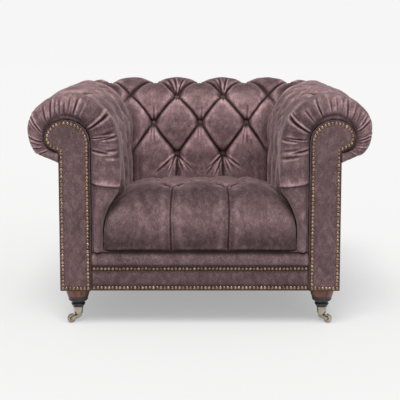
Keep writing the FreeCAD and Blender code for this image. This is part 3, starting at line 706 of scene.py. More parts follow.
def blurred(field, cells):
    """The mean of a grid over a square window, twice, with its edges held."""
    window = 2 * cells + 1
    for _ in range(2):
        for axis in (0, 1):
            pad = [(0, 0), (0, 0)]
            pad[axis] = (cells + 1, cells)
            total = np.cumsum(np.pad(field, pad, mode="edge"), axis=axis)
            size = field.shape[axis]
            field = (np.take(total, range(window, window + size), axis)
                     - np.take(total, range(0, size), axis)) / window
    return field


def grid_normals(base, side):
    """Outward normals of a grid of points."""
    normal = np.cross(np.gradient(base, axis=1), np.gradient(base, axis=0)) * side
    return normal / (np.linalg.norm(normal, axis=2)[:, :, None] + tiniest)


def finish_piece(name, bm, finish):
    """Turns a bmesh into a smooth-shaded object that rides on the chair."""
    mesh = bpy.data.meshes.new(name)
    for face in bm.faces:
        face.smooth = True
    bm.to_mesh(mesh)
    bm.free()
    obj = bpy.data.objects.new(name, mesh)
    bpy.context.collection.objects.link(obj)
    mesh.materials.append(finish)
    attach(obj, "chair")
    return obj


def pad_from_grid(name, base, height, inner, side, finish, relief_light_gain=1.0, shade=0.0):
    """A closed pad: a cover of grid points lifted by height, its inner rows, and its two ends capped.

    base is (rows, columns, 3), inner is (a few rows, columns, 3) from the cover's last row back to its first.
    side is 1 or -1, whichever turns the normals outwards. shade is added to the attribute of painted light
    and shade.
    """
    lifted = base + height[:, :, None] * grid_normals(base, side)
    sheet = np.concatenate([lifted, inner, lifted[:1]])
    relief = height - blurred(height, max(2, int(crease_reach / STEP)))
    # Painted shade in the creases and a painted highlight on the ridges, with the shade passed in added.
    painted_light = relief_light_gain * np.where(relief > 0, relief / ridge_height, relief / crease_depth) + shade
    painted_light = np.clip(painted_light, -0.5, 0.5)
    painted_light = np.concatenate([painted_light, np.zeros(inner.shape[:2]), painted_light[:1]])
    rows, columns = sheet.shape[:2]
    bm = bmesh.new()
    bmesh.ops.create_grid(bm, x_segments=columns - 1, y_segments=rows - 1, size=0.5)
    layer = bm.verts.layers.float.new("light_and_shade")
    for vert, point, light_and_shade in zip(bm.verts, sheet.reshape(-1, 3), painted_light.reshape(-1)):
        vert.co = point
        vert[layer] = light_and_shade
    bmesh.ops.remove_doubles(bm, verts=bm.verts, dist=weld)
    ends = [edge for edge in bm.edges if edge.is_boundary]
    bmesh.ops.holes_fill(bm, edges=ends, sides=0)
    bmesh.ops.recalc_face_normals(bm, faces=bm.faces)
    open_edges = sum(1 for edge in bm.edges if not edge.is_manifold)
    print(name, "rows", rows, "columns", columns, "faces", len(bm.faces), "open edges", open_edges)
    return finish_piece(name, bm, finish)


print("grid step", STEP, "m")

# %% [markdown]
# ## The back pad
# Four rows of buttons, with the top row on the crown of the roll. The upholsterer's folds fan out of each
# button: up over the roll from the row below the crown, and down to the seat from the lowest row.

# %% Where the back's buttons go
BACK_FANS = [
    [((180, 160, 200, 143, 217, 128, 232), 0.07, 0.12, 0.0042)],
    [((4, 176, 190), 0.06, 0.10, 0.0032)],
    [((-38, -20, -4, 14, 30), 0.09, 0.135, 0.0040), ((172, 190), 0.04, 0.07, 0.0030)],
    [((-14, 12, 172, 188), 0.05, 0.09, 0.0032)],
]
crown_row = button_rows - 1


def back_lattice():
    """Places (x, s, row) of the back's buttons."""
    return [(x, s, row) for row, s in enumerate(back_section.row_lengths(back_first_row))
            for x in row_across(row, back_section.width_at(s) - button_pitch / 4)]


print("back buttons", len(back_lattice()))

# %% [markdown]
# The pillows are fullest on the face, flatter over the crown and near the seat. The crown's buttons can't
# be seen from the front, but they pull a notch into the outline. Where the back meets an arm, both pads
# sink into a common valley, as they do where two stuffed covers are pressed together.

# %% Back pad
back_depth, back_lift, back_dimple = 0.030, 0.012, 0.016
lattice_drift, drift_size = 0.022, 0.10
unevenness, uneven_size = 0.0016, 0.035
notch_depth, notch_width, notch_length, notch_ahead = 0.016, 0.017, 0.036, 0.018
crown_z, crown_fade, crown_shade = 0.685, 0.04, 0.42
meet_gap, valley, meet_run, edge_run = 0.0006, -0.010, 0.055, 0.03


def back_relief(places, base, x, s):
    """The cover's height over the smooth section, and the painted shade and highlight that go with it."""
    drift = lattice_drift * soft_noise(base, drift_size, 3)
    v = (s - back_section.row_lengths(back_first_row)[crown_row]) / (2 * row_pitch)
    raised = pillow(x / button_pitch + drift, v + 0.7 * drift)
    above, below = smooth((v + 0.25) / 0.9), smooth((-v - 1.5) / 0.5)
    depth = back_depth * (1.0 - 0.72 * above) * (1.0 - 0.45 * below)
    height = back_lift * (1.0 - above) + depth * (raised ** fullness - 1.0)
    height += dimples(x, s, [place for place in places if place[2] < crown_row], back_dimple)
    for bx, bs, row in places:
        if row == crown_row:
            height -= notch_depth * bell(x - bx, notch_width) * bell(s - bs + notch_ahead, notch_length)
    height += fold_height(x, s, fans_at(places, BACK_FANS))
    height += unevenness * soft_noise(base, uneven_size, 4)
    # Painted highlight and shade along the creases, weaker over the crown, and a painted shade over the whole
    # crown.
    shade = painted_crease_light(raised, base, 5) * (1.0 - 0.5 * above)
    return height, shade - crown_shade * smooth((base[:, :, 2] - crown_z) / crown_fade)


def build_back():
    section = back_section
    columns, rows = int(2 * half_width / STEP), int(section.length / STEP)
    s, u = spread(np.linspace(0.0, section.length, rows + 1), np.linspace(-1.0, 1.0, columns + 1))
    outer, normal = section.read(section.outer, s), section.read(section.normal, s)
    reach = outer[:, :, 0] + valley * normal[:, :, 0] - meet_gap
    x = u * reach
    base = np.stack([x, outer[:, :, 0] - back_shift, outer[:, :, 1]], axis=2)
    height, shade = back_relief(back_lattice(), base, x, s)
    meet = smooth((reach - np.abs(x)) / meet_run)
    height = (valley + (height - valley) * meet) * smooth((section.length - s) / edge_run)
    core = section.lining(columns, 0.0015)
    core_x = u[:lining_rows] * (core[:, :, 0] - meet_gap)
    inner = np.stack([core_x, core[:, :, 0] - back_shift, core[:, :, 1]], axis=2)
    pad = pad_from_grid("tufted_back_pad", base, height, inner, 1.0, VELVET_BACK, shade=shade)
    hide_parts("inner_back_pad")


build_back()

# %% [markdown]
# ## The front of an arm
# An arm has the back's section, and at the front the padding turns in towards the facing: the cover is
# pulled over the front of the roll, gathered, and nailed on the post under the facing's edge. So the
# surface goes on past the front of the roll as half an ellipse, from the big outline to the scroll's. A
# place on it is given by its share of the way out, 0 beside the facing and 1 on the roll, and by its
# direction from the roll's middle, 0 outwards and 90 up.

# %% Places on the front of an arm
ring_depth, ring_run, ring_length = 0.042, 0.110, 0.135
turn_y = front_y + ring_depth
first_button_y = front_y + arm_first_button
from_middle = arm_section.outer - np.array((half_width - roll_apex, roll_top - roll_widest))
directions = np.unwrap(np.arctan2(from_middle[:, 1], from_middle[:, 0]))


def around(degrees):
    """Length along the section of the point on the roll in this direction."""
    head = slice(3 * SAMPLES, None)
    return float(np.interp(math.radians(360.0 - degrees), -directions[head], arm_section.reach[head]))


def on_ring(share):
    """The unrolled station of a point on the front of the roll, as a y that goes on past the roll."""
    return turn_y - ring_run * (1.0 - share)


def gather(inner_angle, inner_share, outer_angle, outer_share, depth, width, bow=0.0):
    """A gather on the front of the roll, given by the directions of its two ends."""
    return (on_ring(inner_share), around(inner_angle), on_ring(outer_share), around(outer_angle),
            depth, width, bow, 0.30, 0.35)


def tuck_fold(inner_share, inner_z, outer_share, outer_z, depth, width):
    """A fold across the straight part of the arm's front, given by the heights of its two ends."""
    return (on_ring(inner_share), arm_section.height_at(inner_z), on_ring(outer_share),
            arm_section.height_at(outer_z), depth, width, 0.0, 0.25, 0.40)


print("the front turns in over", ring_depth, "m, unrolled", ring_run, "m")

# %% [markdown]
# The gathers run straight at the scroll, deep where they were pulled hard, and no two arms get the same
# ones. So they are a table for each arm: (direction and share of the inner end, the same of the outer end,
# depth, width, bow). The straight part under the roll has its own, by height. One hard pull goes from the
# first button of the third row over to the scroll.

# %% Gathers
ROLL_GATHERS = {
    "left": [
        (13, 0.15, 24, 1.10, 0.0042, 0.0040), (8, 0.30, 15, 0.90, 0.0022, 0.0035),
        (40, 0.15, 48, 0.85, 0.0030, 0.0042), (52, 0.10, 63, 0.95, 0.0042, 0.0044, 0.003),
        (66, 0.20, 70, 0.85, 0.0026, 0.0036), (77, 0.15, 77, 0.80, 0.0034, 0.0040),
        (88, 0.10, 86, 0.75, 0.0026, 0.0036), (97, 0.20, 95, 0.85, 0.0022, 0.0034),
        (111, 0.15, 108, 0.95, 0.0044, 0.0044), (124, 0.20, 120, 0.80, 0.0020, 0.0036),
        (-13, 0.10, -7, 1.05, 0.0038, 0.0036), (-22, 0.20, -16, 0.85, 0.0028, 0.0036),
        (-31, 0.15, -26, 0.95, 0.0030, 0.0036), (-43, 0.10, -38, 1.05, 0.0042, 0.0036),
    ],
    "right": [
        (15, 0.10, 15, 1.05, 0.0042, 0.0040), (20, 0.25, 24, 0.85, 0.0026, 0.0036),
        (34, 0.20, 37, 0.80, 0.0018, 0.0040), (46, 0.15, 47, 0.85, 0.0022, 0.0040),
        (59, 0.15, 64, 0.95, 0.0040, 0.0040, 0.003), (74, 0.25, 72, 0.90, 0.0020, 0.0036),
        (84, 0.20, 84, 0.85, 0.0018, 0.0036), (97, 0.20, 95, 0.80, 0.0020, 0.0038),
        (122, 0.08, 116, 0.95, 0.0044, 0.0040, 0.004), (147, 0.20, 141, 0.80, 0.0022, 0.0040),
        (-9, 0.10, -8, 1.05, 0.0040, 0.0036), (-18, 0.20, -12, 0.95, 0.0028, 0.0036),
        (-31, 0.20, -28, 0.90, 0.0022, 0.0040), (-50, 0.12, -46, 0.95, 0.0032, 0.0034),
    ],
}
FACE_FOLDS = {
    "left": [
        (0.05, 0.600, 0.75, 0.612, 0.0052, 0.0034), (0.35, 0.596, 0.95, 0.610, 0.0046, 0.0040),
        (0.45, 0.618, 0.90, 0.628, 0.0022, 0.0050), (0.05, 0.547, 0.70, 0.548, 0.0050, 0.0032),
        (0.50, 0.554, 0.90, 0.566, 0.0034, 0.0040), (0.45, 0.537, 0.95, 0.543, 0.0022, 0.0050),
    ],
    "right": [
        (0.05, 0.591, 0.90, 0.606, 0.0050, 0.0034), (0.40, 0.588, 0.95, 0.600, 0.0044, 0.0042),
        (0.05, 0.548, 0.65, 0.548, 0.0052, 0.0034), (0.35, 0.556, 0.95, 0.560, 0.0026, 0.0044),
        (0.35, 0.537, 0.95, 0.536, 0.0030, 0.0044),
    ],
}
HARD_PULLS = {"left": (166, 160), "right": (177, 165)}
ARM_FANS = [
    [((180, 162, 198, 146, 214), 0.06, 0.10, 0.0040)],
    [((2, 178), 0.04, 0.07, 0.0030)],
    [((-24, -8, 10, 26), 0.06, 0.10, 0.0032), ((176, 194), 0.04, 0.07, 0.0026)],
    [((-16, 4, 20, 168, 186), 0.05, 0.10, 0.0034)],
]


def arm_folds(places, name):
    """All folds of one arm: the hard pull and its neighbour, the buttons' fans, and the gathers."""
    third_row = arm_section.row_lengths(arm_first_row)[2]
    hard, beside = HARD_PULLS[name]
    made = [(first_button_y, third_row, on_ring(0.05), around(hard), 0.0090, 0.0050, 0.0, 0.10, 0.25),
            (first_button_y, third_row, on_ring(0.45), around(beside), 0.0040, 0.0040, 0.004, 0.15, 0.50)]
    made += fans_at(places, ARM_FANS)
    made += [gather(*row) for row in ROLL_GATHERS[name]]
    return made + [tuck_fold(*row) for row in FACE_FOLDS[name]]


def arm_lattice():
    """Places (y, s, row) of one arm's buttons, from the front to the back pad."""
    places = []
    for row, s in enumerate(arm_section.row_lengths(arm_first_row)):
        y = first_button_y + (row % 2) * button_pitch / 2
        while y < arm_section.width_at(s) - back_shift - button_pitch / 4:
            places.append((y, s, row))
            y += button_pitch
    return places


print("arm buttons", len(arm_lattice()), "gathers", {name: len(rows) for name, rows in ROLL_GATHERS.items()})

# %% [markdown]
# ## The arm's smooth surface
# The grid goes up the section by its rows, and from the back pad to the facing by its columns. The rear
# edge is the mitre with the back. Behind the front the lower face stays full, or a dark hole would show
# between the arm and the curve of the seat.

# %% Arm surface
full_z, full_fade, full_until, full_share = 0.300, 0.085, 0.428, 0.90
ring_squareness, nailed_lift = 0.85, 0.0026


def arm_surface():
    """The surface and what the relief needs to know of it: lengths up, the unrolled y, and normals."""
    section = arm_section
    straight, ring = int((half_width - back_shift - turn_y) / STEP), int(ring_length / STEP)
    s, step = spread(np.linspace(0.0, section.length, int(section.length / STEP) + 1),
                     np.arange(straight + ring + 1.0))
    big, normal = section.read(section.outer, s), section.read(section.normal, s)
    small = section.read(section.core, s) + nailed_lift * section.read(section.core_normal, s)
    small[:, :, 1] = np.maximum(small[:, :, 1], rail_top)
    share = np.clip(step / straight, 0.0, 1.0)
    full = smooth((big[:, :, 1] - full_z) / full_fade) * smooth((full_share - share) / 0.15)
    big[:, :, 0] -= (big[:, :, 0] - pad_inner) * full * (s < section.height_at(full_until))
    rear = big[:, :, 0] + valley * normal[:, :, 0] - back_shift - meet_gap
    phi = np.pi * np.clip((step - straight) / ring, 0.0, 1.0)
    y = rear + (turn_y - rear) * share - ring_depth * np.sin(phi) ** ring_squareness
    point = big + (small - big) * ((1.0 - np.cos(phi)) / 2.0)[:, :, None]
    base = np.stack([point[:, :, 0], y, point[:, :, 1]], axis=2)
    run = np.where(phi > 0.0, turn_y - ring_run * phi / np.pi, y)
    return base, s, run, phi, rear, normal


def arm_lining(columns):
    """The arm's inner side, on the liner and the post."""
    core = arm_section.lining(columns, 0.0012)
    rear = core[:, :, 0] - back_shift - meet_gap
    y = rear + (turn_y - rear) * (np.arange(columns + 1.0) / columns)
    return np.stack([core[:, :, 0], y, core[:, :, 1]], axis=2)


print("arm grid", arm_surface()[0].shape)

# %% [markdown]
# ## The arm's relief
# Over that surface go the pillows, which fade out before the front of the roll, then folds and gathers, a
# fine streaking of pulled cloth on the roll, and the seam across the front, under which the cover is flat.
# A painted shade darkens the side of the roll that is turned in, and a painted highlight lightens the strip
# beside the facing where it faces up. At the seam a painted dark line lies just under a painted light one.

# %% Arm pads
arm_depth, arm_lift, arm_dimple = 0.028, 0.004, 0.011
ring_sink, crown_sink_front = 0.002, 0.010
streak_height, streak_size, streak_stretch = 0.0011, 0.0085, 0.16
seam_z, seam_depth, seam_width = 0.444, 0.0045, 0.0024
ARM_SEED = {"left": 11, "right": 17}
arm_relief_light_gain = 1.3


def arm_relief(name, base, s, run, normal):
    """The cover's height over the smooth surface, and the painted shade and highlight that go with it."""
    places, seed = arm_lattice(), ARM_SEED[name]
    drift = lattice_drift * soft_noise(noise_place(run, s), drift_size, seed)
    v = (s - arm_section.row_lengths(arm_first_row)[crown_row]) / (2 * row_pitch)
    ahead_y = first_button_y + button_pitch / 2
    raised = pillow((run - ahead_y) / button_pitch + drift, v + 0.7 * drift, front=True)
    above, below = smooth(v / 0.9), smooth((-v - 1.5) / 0.5)
    tufted = smooth((run - on_ring(0.45)) / (first_button_y - on_ring(0.45)))
    upward = np.clip(normal[:, :, 1], 0.0, 1.0)

    depth = arm_depth * (1.0 - 0.50 * above) * (1.0 - 0.45 * below)
    height = arm_lift * (1.0 - above) + depth * (raised ** fullness - 1.0)
    height = height * tufted - ring_sink * (1.0 - tufted)
    height -= crown_sink_front * smooth((ahead_y + 0.03 - run) / 0.08) * upward ** 2
    height += dimples(run, s, places, arm_dimple)
    height += fold_height(run, s, arm_folds(places, name))
    height += unevenness * soft_noise(base, uneven_size, seed + 1)
    streaks = soft_noise(noise_place(run * streak_stretch, s), streak_size, seed + 2)
    on_roll = smooth((s - arm_section.height_at(0.50)) / 0.12) * smooth((on_ring(1.5) - run) / 0.06)
    height += streak_height * streaks * on_roll

    seam = s - arm_section.height_at(seam_z)
    front_zone = smooth((first_button_y + 0.01 - run) / 0.02)
    height -= front_zone * seam_depth * (bell(seam, seam_width) + smooth(-seam / 0.006))

    # Painted shade on the side of the roll turned inwards, a painted highlight on its upward faces at the
    # front, and a painted light line over a painted dark line at the seam.
    inward = np.clip(-normal[:, :, 0], 0.0, 1.0) * smooth((base[:, :, 2] - 0.56) / 0.08)
    shade = painted_crease_light(raised, base, seed + 3) * tufted - 0.26 * inward
    shade += 0.20 * upward ** 4 * smooth((on_ring(1.1) - run) / 0.03)
    shade += front_zone * (0.16 * bell(seam - 0.007, 0.003) - 0.40 * bell(seam, 0.0030))
    return height, shade


def build_arm(name, side):
    base, s, run, phi, rear, normal = arm_surface()
    height, shade = arm_relief(name, base, s, run, normal)
    meet = smooth((rear - base[:, :, 1]) / meet_run)
    height = valley + (height - valley) * meet
    height *= smooth((arm_section.length - s) / edge_run) * smooth((np.pi - phi) / 0.5)
    inner = arm_lining(base.shape[1] - 1)
    base[:, :, 0] *= side
    inner[:, :, 0] *= side
    pad = pad_from_grid(f"tufted_arm_pad_{name}", base, height, inner, side, VELVET_PAD, relief_light_gain=arm_relief_light_gain,
                        shade=shade)
    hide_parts(f"inner_arm_pad_{name}")


build_arm("right", 1.0)
build_arm("left", -1.0)

# %% [markdown]
# ## The seat
# The seat is one fixed cushion, buttoned on top in the same diamonds and plain in front, where two sewn
# channels run down from the front buttons. Its section from front to back is swept across the chair, and
# sinks towards the arms by a table of (distance from the middle, drop). The front corners are rounded a
# little.

# %% Seat surface
seat_front, seat_rear = front_y + 0.022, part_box("seat_pad")[1][1]
seat_half = pad_lower + 0.001
seat_top, seat_back_top = 0.444, 0.376
nose_depth, nose_height, crown_run = 0.116, 0.092, 0.13
seat_first_button, seat_row_pitch = 0.102, 0.118
corner_width, corner_depth = 0.030, 0.026
SEAT_DROP = np.array([
    (0.0, 0.0), (0.12, 0.0005), (0.165, 0.002), (0.200, 0.007), (0.230, 0.017), (0.2545, 0.031),
    (0.279, 0.054), (0.296, 0.084), (0.3045, 0.115), (seat_half, 0.150),
])


def seat_profile():
    """The seat's middle section in (y, z): up the front, over the nose and back to the back pad."""
    nose, shoulder = seat_front + nose_depth, seat_top - nose_height
    rise = np.linspace((seat_front, rail_top), (seat_front, shoulder), SAMPLES)
    turn = conic((seat_front, shoulder), (seat_front, seat_top), (nose, seat_top), round_weight)
    crown = conic((nose, seat_top), (nose + crown_run, seat_top), (seat_rear, seat_back_top), 1.0)
    return np.concatenate([rise, turn[1:], crown[1:]])


def seat_surface():
    """The smooth seat and the length along its section."""
    length, drop_reach = seat_reach[-1], travelled(SEAT_DROP)
    columns = 2 * int(drop_reach[-1] / STEP)
    s, across = spread(np.linspace(0.0, length, int(length / STEP) + 1), np.linspace(-1.0, 1.0, columns + 1))
    across = across * drop_reach[-1]
    bend = 0.5 * (blurred(across, 2) + across)
    x = np.sign(bend) * np.interp(np.abs(bend), drop_reach, SEAT_DROP[:, 0])
    drop = np.interp(np.abs(bend), drop_reach, SEAT_DROP[:, 1])
    y, z = np.interp(s, seat_reach, seat_line[:, 0]), np.interp(s, seat_reach, seat_line[:, 1])
    z = rail_top + (z - rail_top) * (1.0 - drop / (seat_top - rail_top))
    corner = np.clip((np.abs(x) - (seat_half - corner_width)) / corner_width, 0.0, 1.0)
    y = y + corner_depth * (1.0 - np.sqrt(1.0 - corner ** 2)) * smooth((seat_reach[2 * SAMPLES] - s) / 0.10)
    return np.stack([x, y, z], axis=2), s


def seat_lining(base, rows=10):
    """The rows that close the seat behind and underneath."""
    x = base[:rows, :, 0]
    front, rear, top = base[:1, :, 1], base[-1:, :, 1], base[-1:, :, 2]
    left = np.linspace(1.0, 0.0, rows)[:, None]
    behind = np.stack([x, rear + 0 * left, rail_top + (top - rail_top) * left], axis=2)
    under = np.stack([x, front + (rear - front) * left, np.full_like(x, rail_top)], axis=2)
    return np.concatenate([behind[1:], under[1:-1]])


seat_line = seat_profile()
seat_reach = travelled(seat_line)
print("seat section", round(seat_reach[-1], 3), "m")

# %% [markdown]
# The seat's front is painted in broad bands of light and shade: dark under the nose, pale across the middle,
# dark again at the bottom. A table of shade against height gives them. A wavy pair of lines makes the
# channels, each with a painted shade in it and a painted highlight beside it.

# %% Seat
seat_front_s = float(np.interp(seat_front + seat_first_button, seat_line[SAMPLES:, 0], seat_reach[SAMPLES:]))
seat_depth, seat_lift, seat_fullness, seat_dimple, seat_dimple_radius = 0.026, 0.004, 0.38, 0.014, 0.020
channel_puff, channel_depth, channel_width, channel_reach = 0.0050, 0.0036, 0.0024, 0.030
SEAT_FANS = [[((20, -20, 150, 205), 0.035, 0.06, 0.0030)], [((90, -90), 0.03, 0.05, 0.0022)]]
SEAT_DRAGS = [(-0.21, 0.04, 0.10, 0.0016), (0.16, 0.05, -0.12, 0.0014), (-0.02, 0.06, 0.02, 0.0012)]
BAND_Z = [0.245, 0.262, 0.280, 0.302, 0.340, 0.370, 0.400, 0.422, 0.440]
BAND_SHADE = [-0.30, -0.25, -0.13, 0.02, 0.21, 0.12, -0.03, -0.15, -0.10]


def seat_lattice():
    """Places (x, s, row) of the seat's buttons, front row first."""
    return [(x, seat_front_s + row * seat_row_pitch, row) for row in range(button_rows)
            for x in row_across(row, seat_half - button_pitch / 3)]


def seat_folds(places):
    """The buttons' fans, and a few long drags down the front."""
    return fans_at(places, SEAT_FANS) + [
        (start, seat_front_s - 0.02, start + lean, end, depth, 0.014, 0.006, 0.3, 0.5)
        for start, end, lean, depth in SEAT_DRAGS]


def seat_relief(base, s):
    """The cover's height over the smooth seat, and the painted shade and highlight that go with it."""
    x, places = base[:, :, 0], seat_lattice()
    drift = 0.020 * soft_noise(base, drift_size, 21)
    v = (seat_front_s - s) / (2 * seat_row_pitch)
    raised = pillow(x / button_pitch + 0.5 + drift, v + 0.7 * drift)
    ahead = smooth(v / 0.13)
    height = seat_lift * (1.0 - ahead) + seat_depth * (raised ** seat_fullness - 1.0) * (1.0 - ahead)
    height += dimples(x, s, places, seat_dimple, seat_dimple_radius)
    height += fold_height(x, s, seat_folds(places))
    channel = np.minimum(np.abs(x - 0.0875 - 0.004 * np.sin(s * 14)),
                         np.abs(x + 0.0905 + 0.003 * np.sin(s * 17)))
    puff = channel_puff * smooth(np.minimum(channel, channel_reach) / channel_reach)
    height += ahead * (puff - channel_depth * bell(channel, channel_width) - 0.0020)
    height += 0.0016 * soft_noise(base, 0.060, 22) + 0.0010 * soft_noise(base, 0.025, 23)
    height *= smooth(s / 0.012) * smooth((seat_reach[-1] - s) / 0.02)
    height *= smooth((seat_half - np.abs(x)) / 0.012)

    # Painted shade and highlight along the creases, painted shade at the foot of the front, painted bands of
    # light and shade across it, and a painted shade in each channel with a painted highlight beside it.
    shade = painted_crease_light(raised, base, 24) * (1.0 - ahead) - 0.35 * smooth((0.010 - s) / 0.008)
    painted_bands = np.interp(base[:, :, 2], BAND_Z, BAND_SHADE) * (1.0 + 0.35 * soft_noise(base, 0.09, 25))
    shade += ahead * (painted_bands + 0.20 * bell(channel - 0.005, 0.002) - 0.25 * bell(channel, channel_width))
    return height, shade


def build_seat():
    base, s = seat_surface()
    height, shade = seat_relief(base, s)
    pad = pad_from_grid("tufted_seat", base, height, seat_lining(base), 1.0, VELVET_SEAT, relief_light_gain=0.8,
                        shade=shade)
    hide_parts("seat_pad")


build_seat()

# %% [markdown]
# ## Front borders
# Two padded bands close the front below the seat. The upper one is fuller and a little uneven, as a band is
# that is stuffed by hand. The lower one is nearly flat, and has a flat strip along both edges, where the
# nails go. Shadow gathers under the seat and along the nails, and is painted there as darker velvet.

# %% Front borders
band_face, band_edge = 0.004, 0.006


def build_border(name, bulge, flat_low, flat_high, ripple, seed, top_line, low_line):
    """A band in the box of its node; a line of painted shadow is (distance from the edge, width, amount)."""
    (x0, _, z0), (x1, back_y, z1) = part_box(name)
    step = STEP * 0.9
    across = np.linspace(x0, x1, int((x1 - x0) / step) + 1)
    z, x = spread(np.linspace(z0, z1, int((z1 - z0) / step) + 1), across)
    base = np.stack([x, np.full_like(x, back_y - band_face), z], axis=2)
    t = np.clip((z - z0 - flat_low) / (z1 - z0 - flat_low - flat_high), 0.0, 1.0)
    swell = np.clip(4.0 * t * (1.0 - t), 0.0, 1.0) ** 0.6
    uneven = soft_noise(noise_place(x, 0 * x, 0.25 * z), 0.045, seed)
    fine = soft_noise(noise_place(x, 0 * x, 0.5 * z), 0.016, seed + 1)
    height = bulge * swell * (1.0 + ripple * uneven) + 0.0008 * fine * swell
    height *= smooth((x - x0) / band_edge) * smooth((x1 - x) / band_edge)
    inner_z, inner_x = spread((z1, z0), across)
    inner = np.stack([inner_x, np.full_like(inner_x, back_y), inner_z], axis=2)
    # Painted shadow: dark lines along the top and bottom, under the seat and along each row of nails.
    shade = -(top_line[2] * bell(z - (z1 - top_line[0]), top_line[1])
              + low_line[2] * bell(z - (z0 + low_line[0]), low_line[1]))
    band = pad_from_grid(f"padded_{name}", base, height, inner, 1.0, VELVET_BAND, relief_light_gain=0.6, shade=shade)
    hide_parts(name)


build_border("front_border_upper", bulge=0.0125, flat_low=0.001, flat_high=0.001, ripple=0.16, seed=31,
             top_line=(0.0, 0.010, 0.45), low_line=(0.0, 0.005, 0.40))
build_border("front_border_lower", bulge=0.0045, flat_low=0.017, flat_high=0.014, ripple=0.10, seed=33,
             top_line=(0.006, 0.009, 0.38), low_line=(0.009, 0.006, 0.25))

# %% [markdown]
# ## Facings
# The flat panel on the front of each arm is a board cut to the scroll, padded with a thin layer and
# covered. A circle's points, moved on to the outline and extruded, give the board. Its front is inset a
# little and cut into small cells, and each vertex then comes forward by its distance from the edge: a soft
# edge, a groove that the nails pull in, and a slight crown.

# %% Facings
outline_step, facing_inset, facing_room = 0.0045, 0.0012, 0.0040
EDGE_AWAY = [0.0, 0.0012, 0.0022, 0.0035, 0.0055, 0.009, 0.013, 0.020, 0.032, 0.046]
EDGE_LIFT = [0.0, 0.0012, 0.0026, 0.0037, 0.0043, 0.0040, 0.0046, 0.0056, 0.0064, 0.0068]
nail_line, nail_line_width, nail_line_shade, rim_width, rim_shade = 0.009, 0.0048, 0.28, 0.003, 0.30


def facing_outline():
    """Points (w, z) of the facing's outline at an even spacing."""
    loop = [(post_inner, base_z)] + [tuple(p) for piece in scroll_hook for p in piece[1:]]
    loop = np.array(loop + [(post_outer, base_z), (post_inner, base_z)])
    reach = travelled(loop)
    at = np.linspace(0.0, reach[-1], int(reach[-1] / outline_step), endpoint=False)
    return np.stack([np.interp(at, reach, loop[:, 0]), np.interp(at, reach, loop[:, 1])], axis=1)


def edge_distance(points, outline):
    """How far each point (w, z) lies from the closed outline."""
    along = np.roll(outline, -1, axis=0) - outline
    away = points[:, None, :] - outline[None, :, :]
    share = np.clip((away * along).sum(axis=2) / (along ** 2).sum(axis=1), 0.0, 1.0)
    return np.linalg.norm(away - share[:, :, None] * along, axis=2).min(axis=1)


def of_kind(geometry, kind):
    return [item for item in geometry if isinstance(item, kind)]


def facing_board(bm, outline):
    """The board's solid in bm; returns the faces of its front, inside a narrow rim."""
    bmesh.ops.create_circle(bm, cap_ends=True, segments=len(outline), radius=1.0)
    bm.verts.ensure_lookup_table()
    for vert, (w, z) in zip(bm.verts, outline):
        vert.co = (w, facing_back, z)
    run = bmesh.ops.extrude_face_region(bm, geom=bm.faces[:])
    bmesh.ops.translate(bm, verts=of_kind(run["geom"], bmesh.types.BMVert),
                        vec=(0.0, facing_front + facing_room - facing_back, 0.0))
    front = of_kind(run["geom"], bmesh.types.BMFace)
    bmesh.ops.inset_region(bm, faces=front, thickness=facing_inset, depth=0.0, use_even_offset=False)
    return front


def cut_in_cells(bm, front, cell):
    """Cuts the front's faces along a square grid, and returns the pieces."""
    for axis, low, high in ((0, post_inner, scroll_outer), (2, base_z, scroll_top)):
        for at in np.arange(low + cell / 2, high, cell):
            normal, place = [0.0, 0.0, 0.0], [0.0, 0.0, 0.0]
            normal[axis], place[axis] = 1.0, float(at)
            edges = {edge for face in front for edge in face.edges}
            verts = {vert for face in front for vert in face.verts}
            cut = bmesh.ops.bisect_plane(bm, geom=list(verts) + list(edges) + front, dist=weld,
                                         plane_co=place, plane_no=normal)
            front = of_kind(cut["geom"], bmesh.types.BMFace)
    return front


def build_facing(name, side):
    outline = facing_outline()
    bm = bmesh.new()
    layer = bm.verts.layers.float.new("light_and_shade")
    front = cut_in_cells(bm, facing_board(bm, outline), STEP * 2.0)
    verts = list({vert for face in front for vert in face.verts})
    places = np.array([(vert.co.x, vert.co.z) for vert in verts])
    inside = edge_distance(places, outline)
    lifts = np.interp(inside, EDGE_AWAY, EDGE_LIFT)
    along = np.stack([places[:, 0] * side, places[:, 1], 0 * inside], axis=1)[None, :, :]
    lifts += 0.0007 * soft_noise(along, 0.05, 51)[0] * smooth(inside / 0.012)
    for vert, (w, z), lift, depth in zip(verts, places, lifts, inside):
        vert.co = (w, facing_front + facing_room - lift, z)
        # Painted shade along the line of nails and a darker painted shade on the narrow rim.
        light_and_shade = -nail_line_shade * bell(depth - nail_line, nail_line_width)
        vert[layer] = light_and_shade - rim_shade * (depth < rim_width)
    bmesh.ops.scale(bm, verts=bm.verts, vec=(side, 1.0, 1.0))
    bmesh.ops.recalc_face_normals(bm, faces=bm.faces)
    piece = finish_piece(f"padded_facing_{name}", bm, VELVET_FLAT)
    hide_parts(f"arm_facing_{name}")
    print(piece.name, "outline points", len(outline), "faces", len(piece.data.polygons))


build_facing("right", 1.0)
build_facing("left", -1.0)

# %% [markdown]
# ## Outside covers
# The outside of the arms and of the back is a plain piece of velvet, stretched over the frame and tacked at
# its edges. It hollows very little between the rails and shows long soft pulls.

# %% Outside covers
hollow, wave, pull, rim = 0.0022, 0.0012, 0.0005, 0.0002


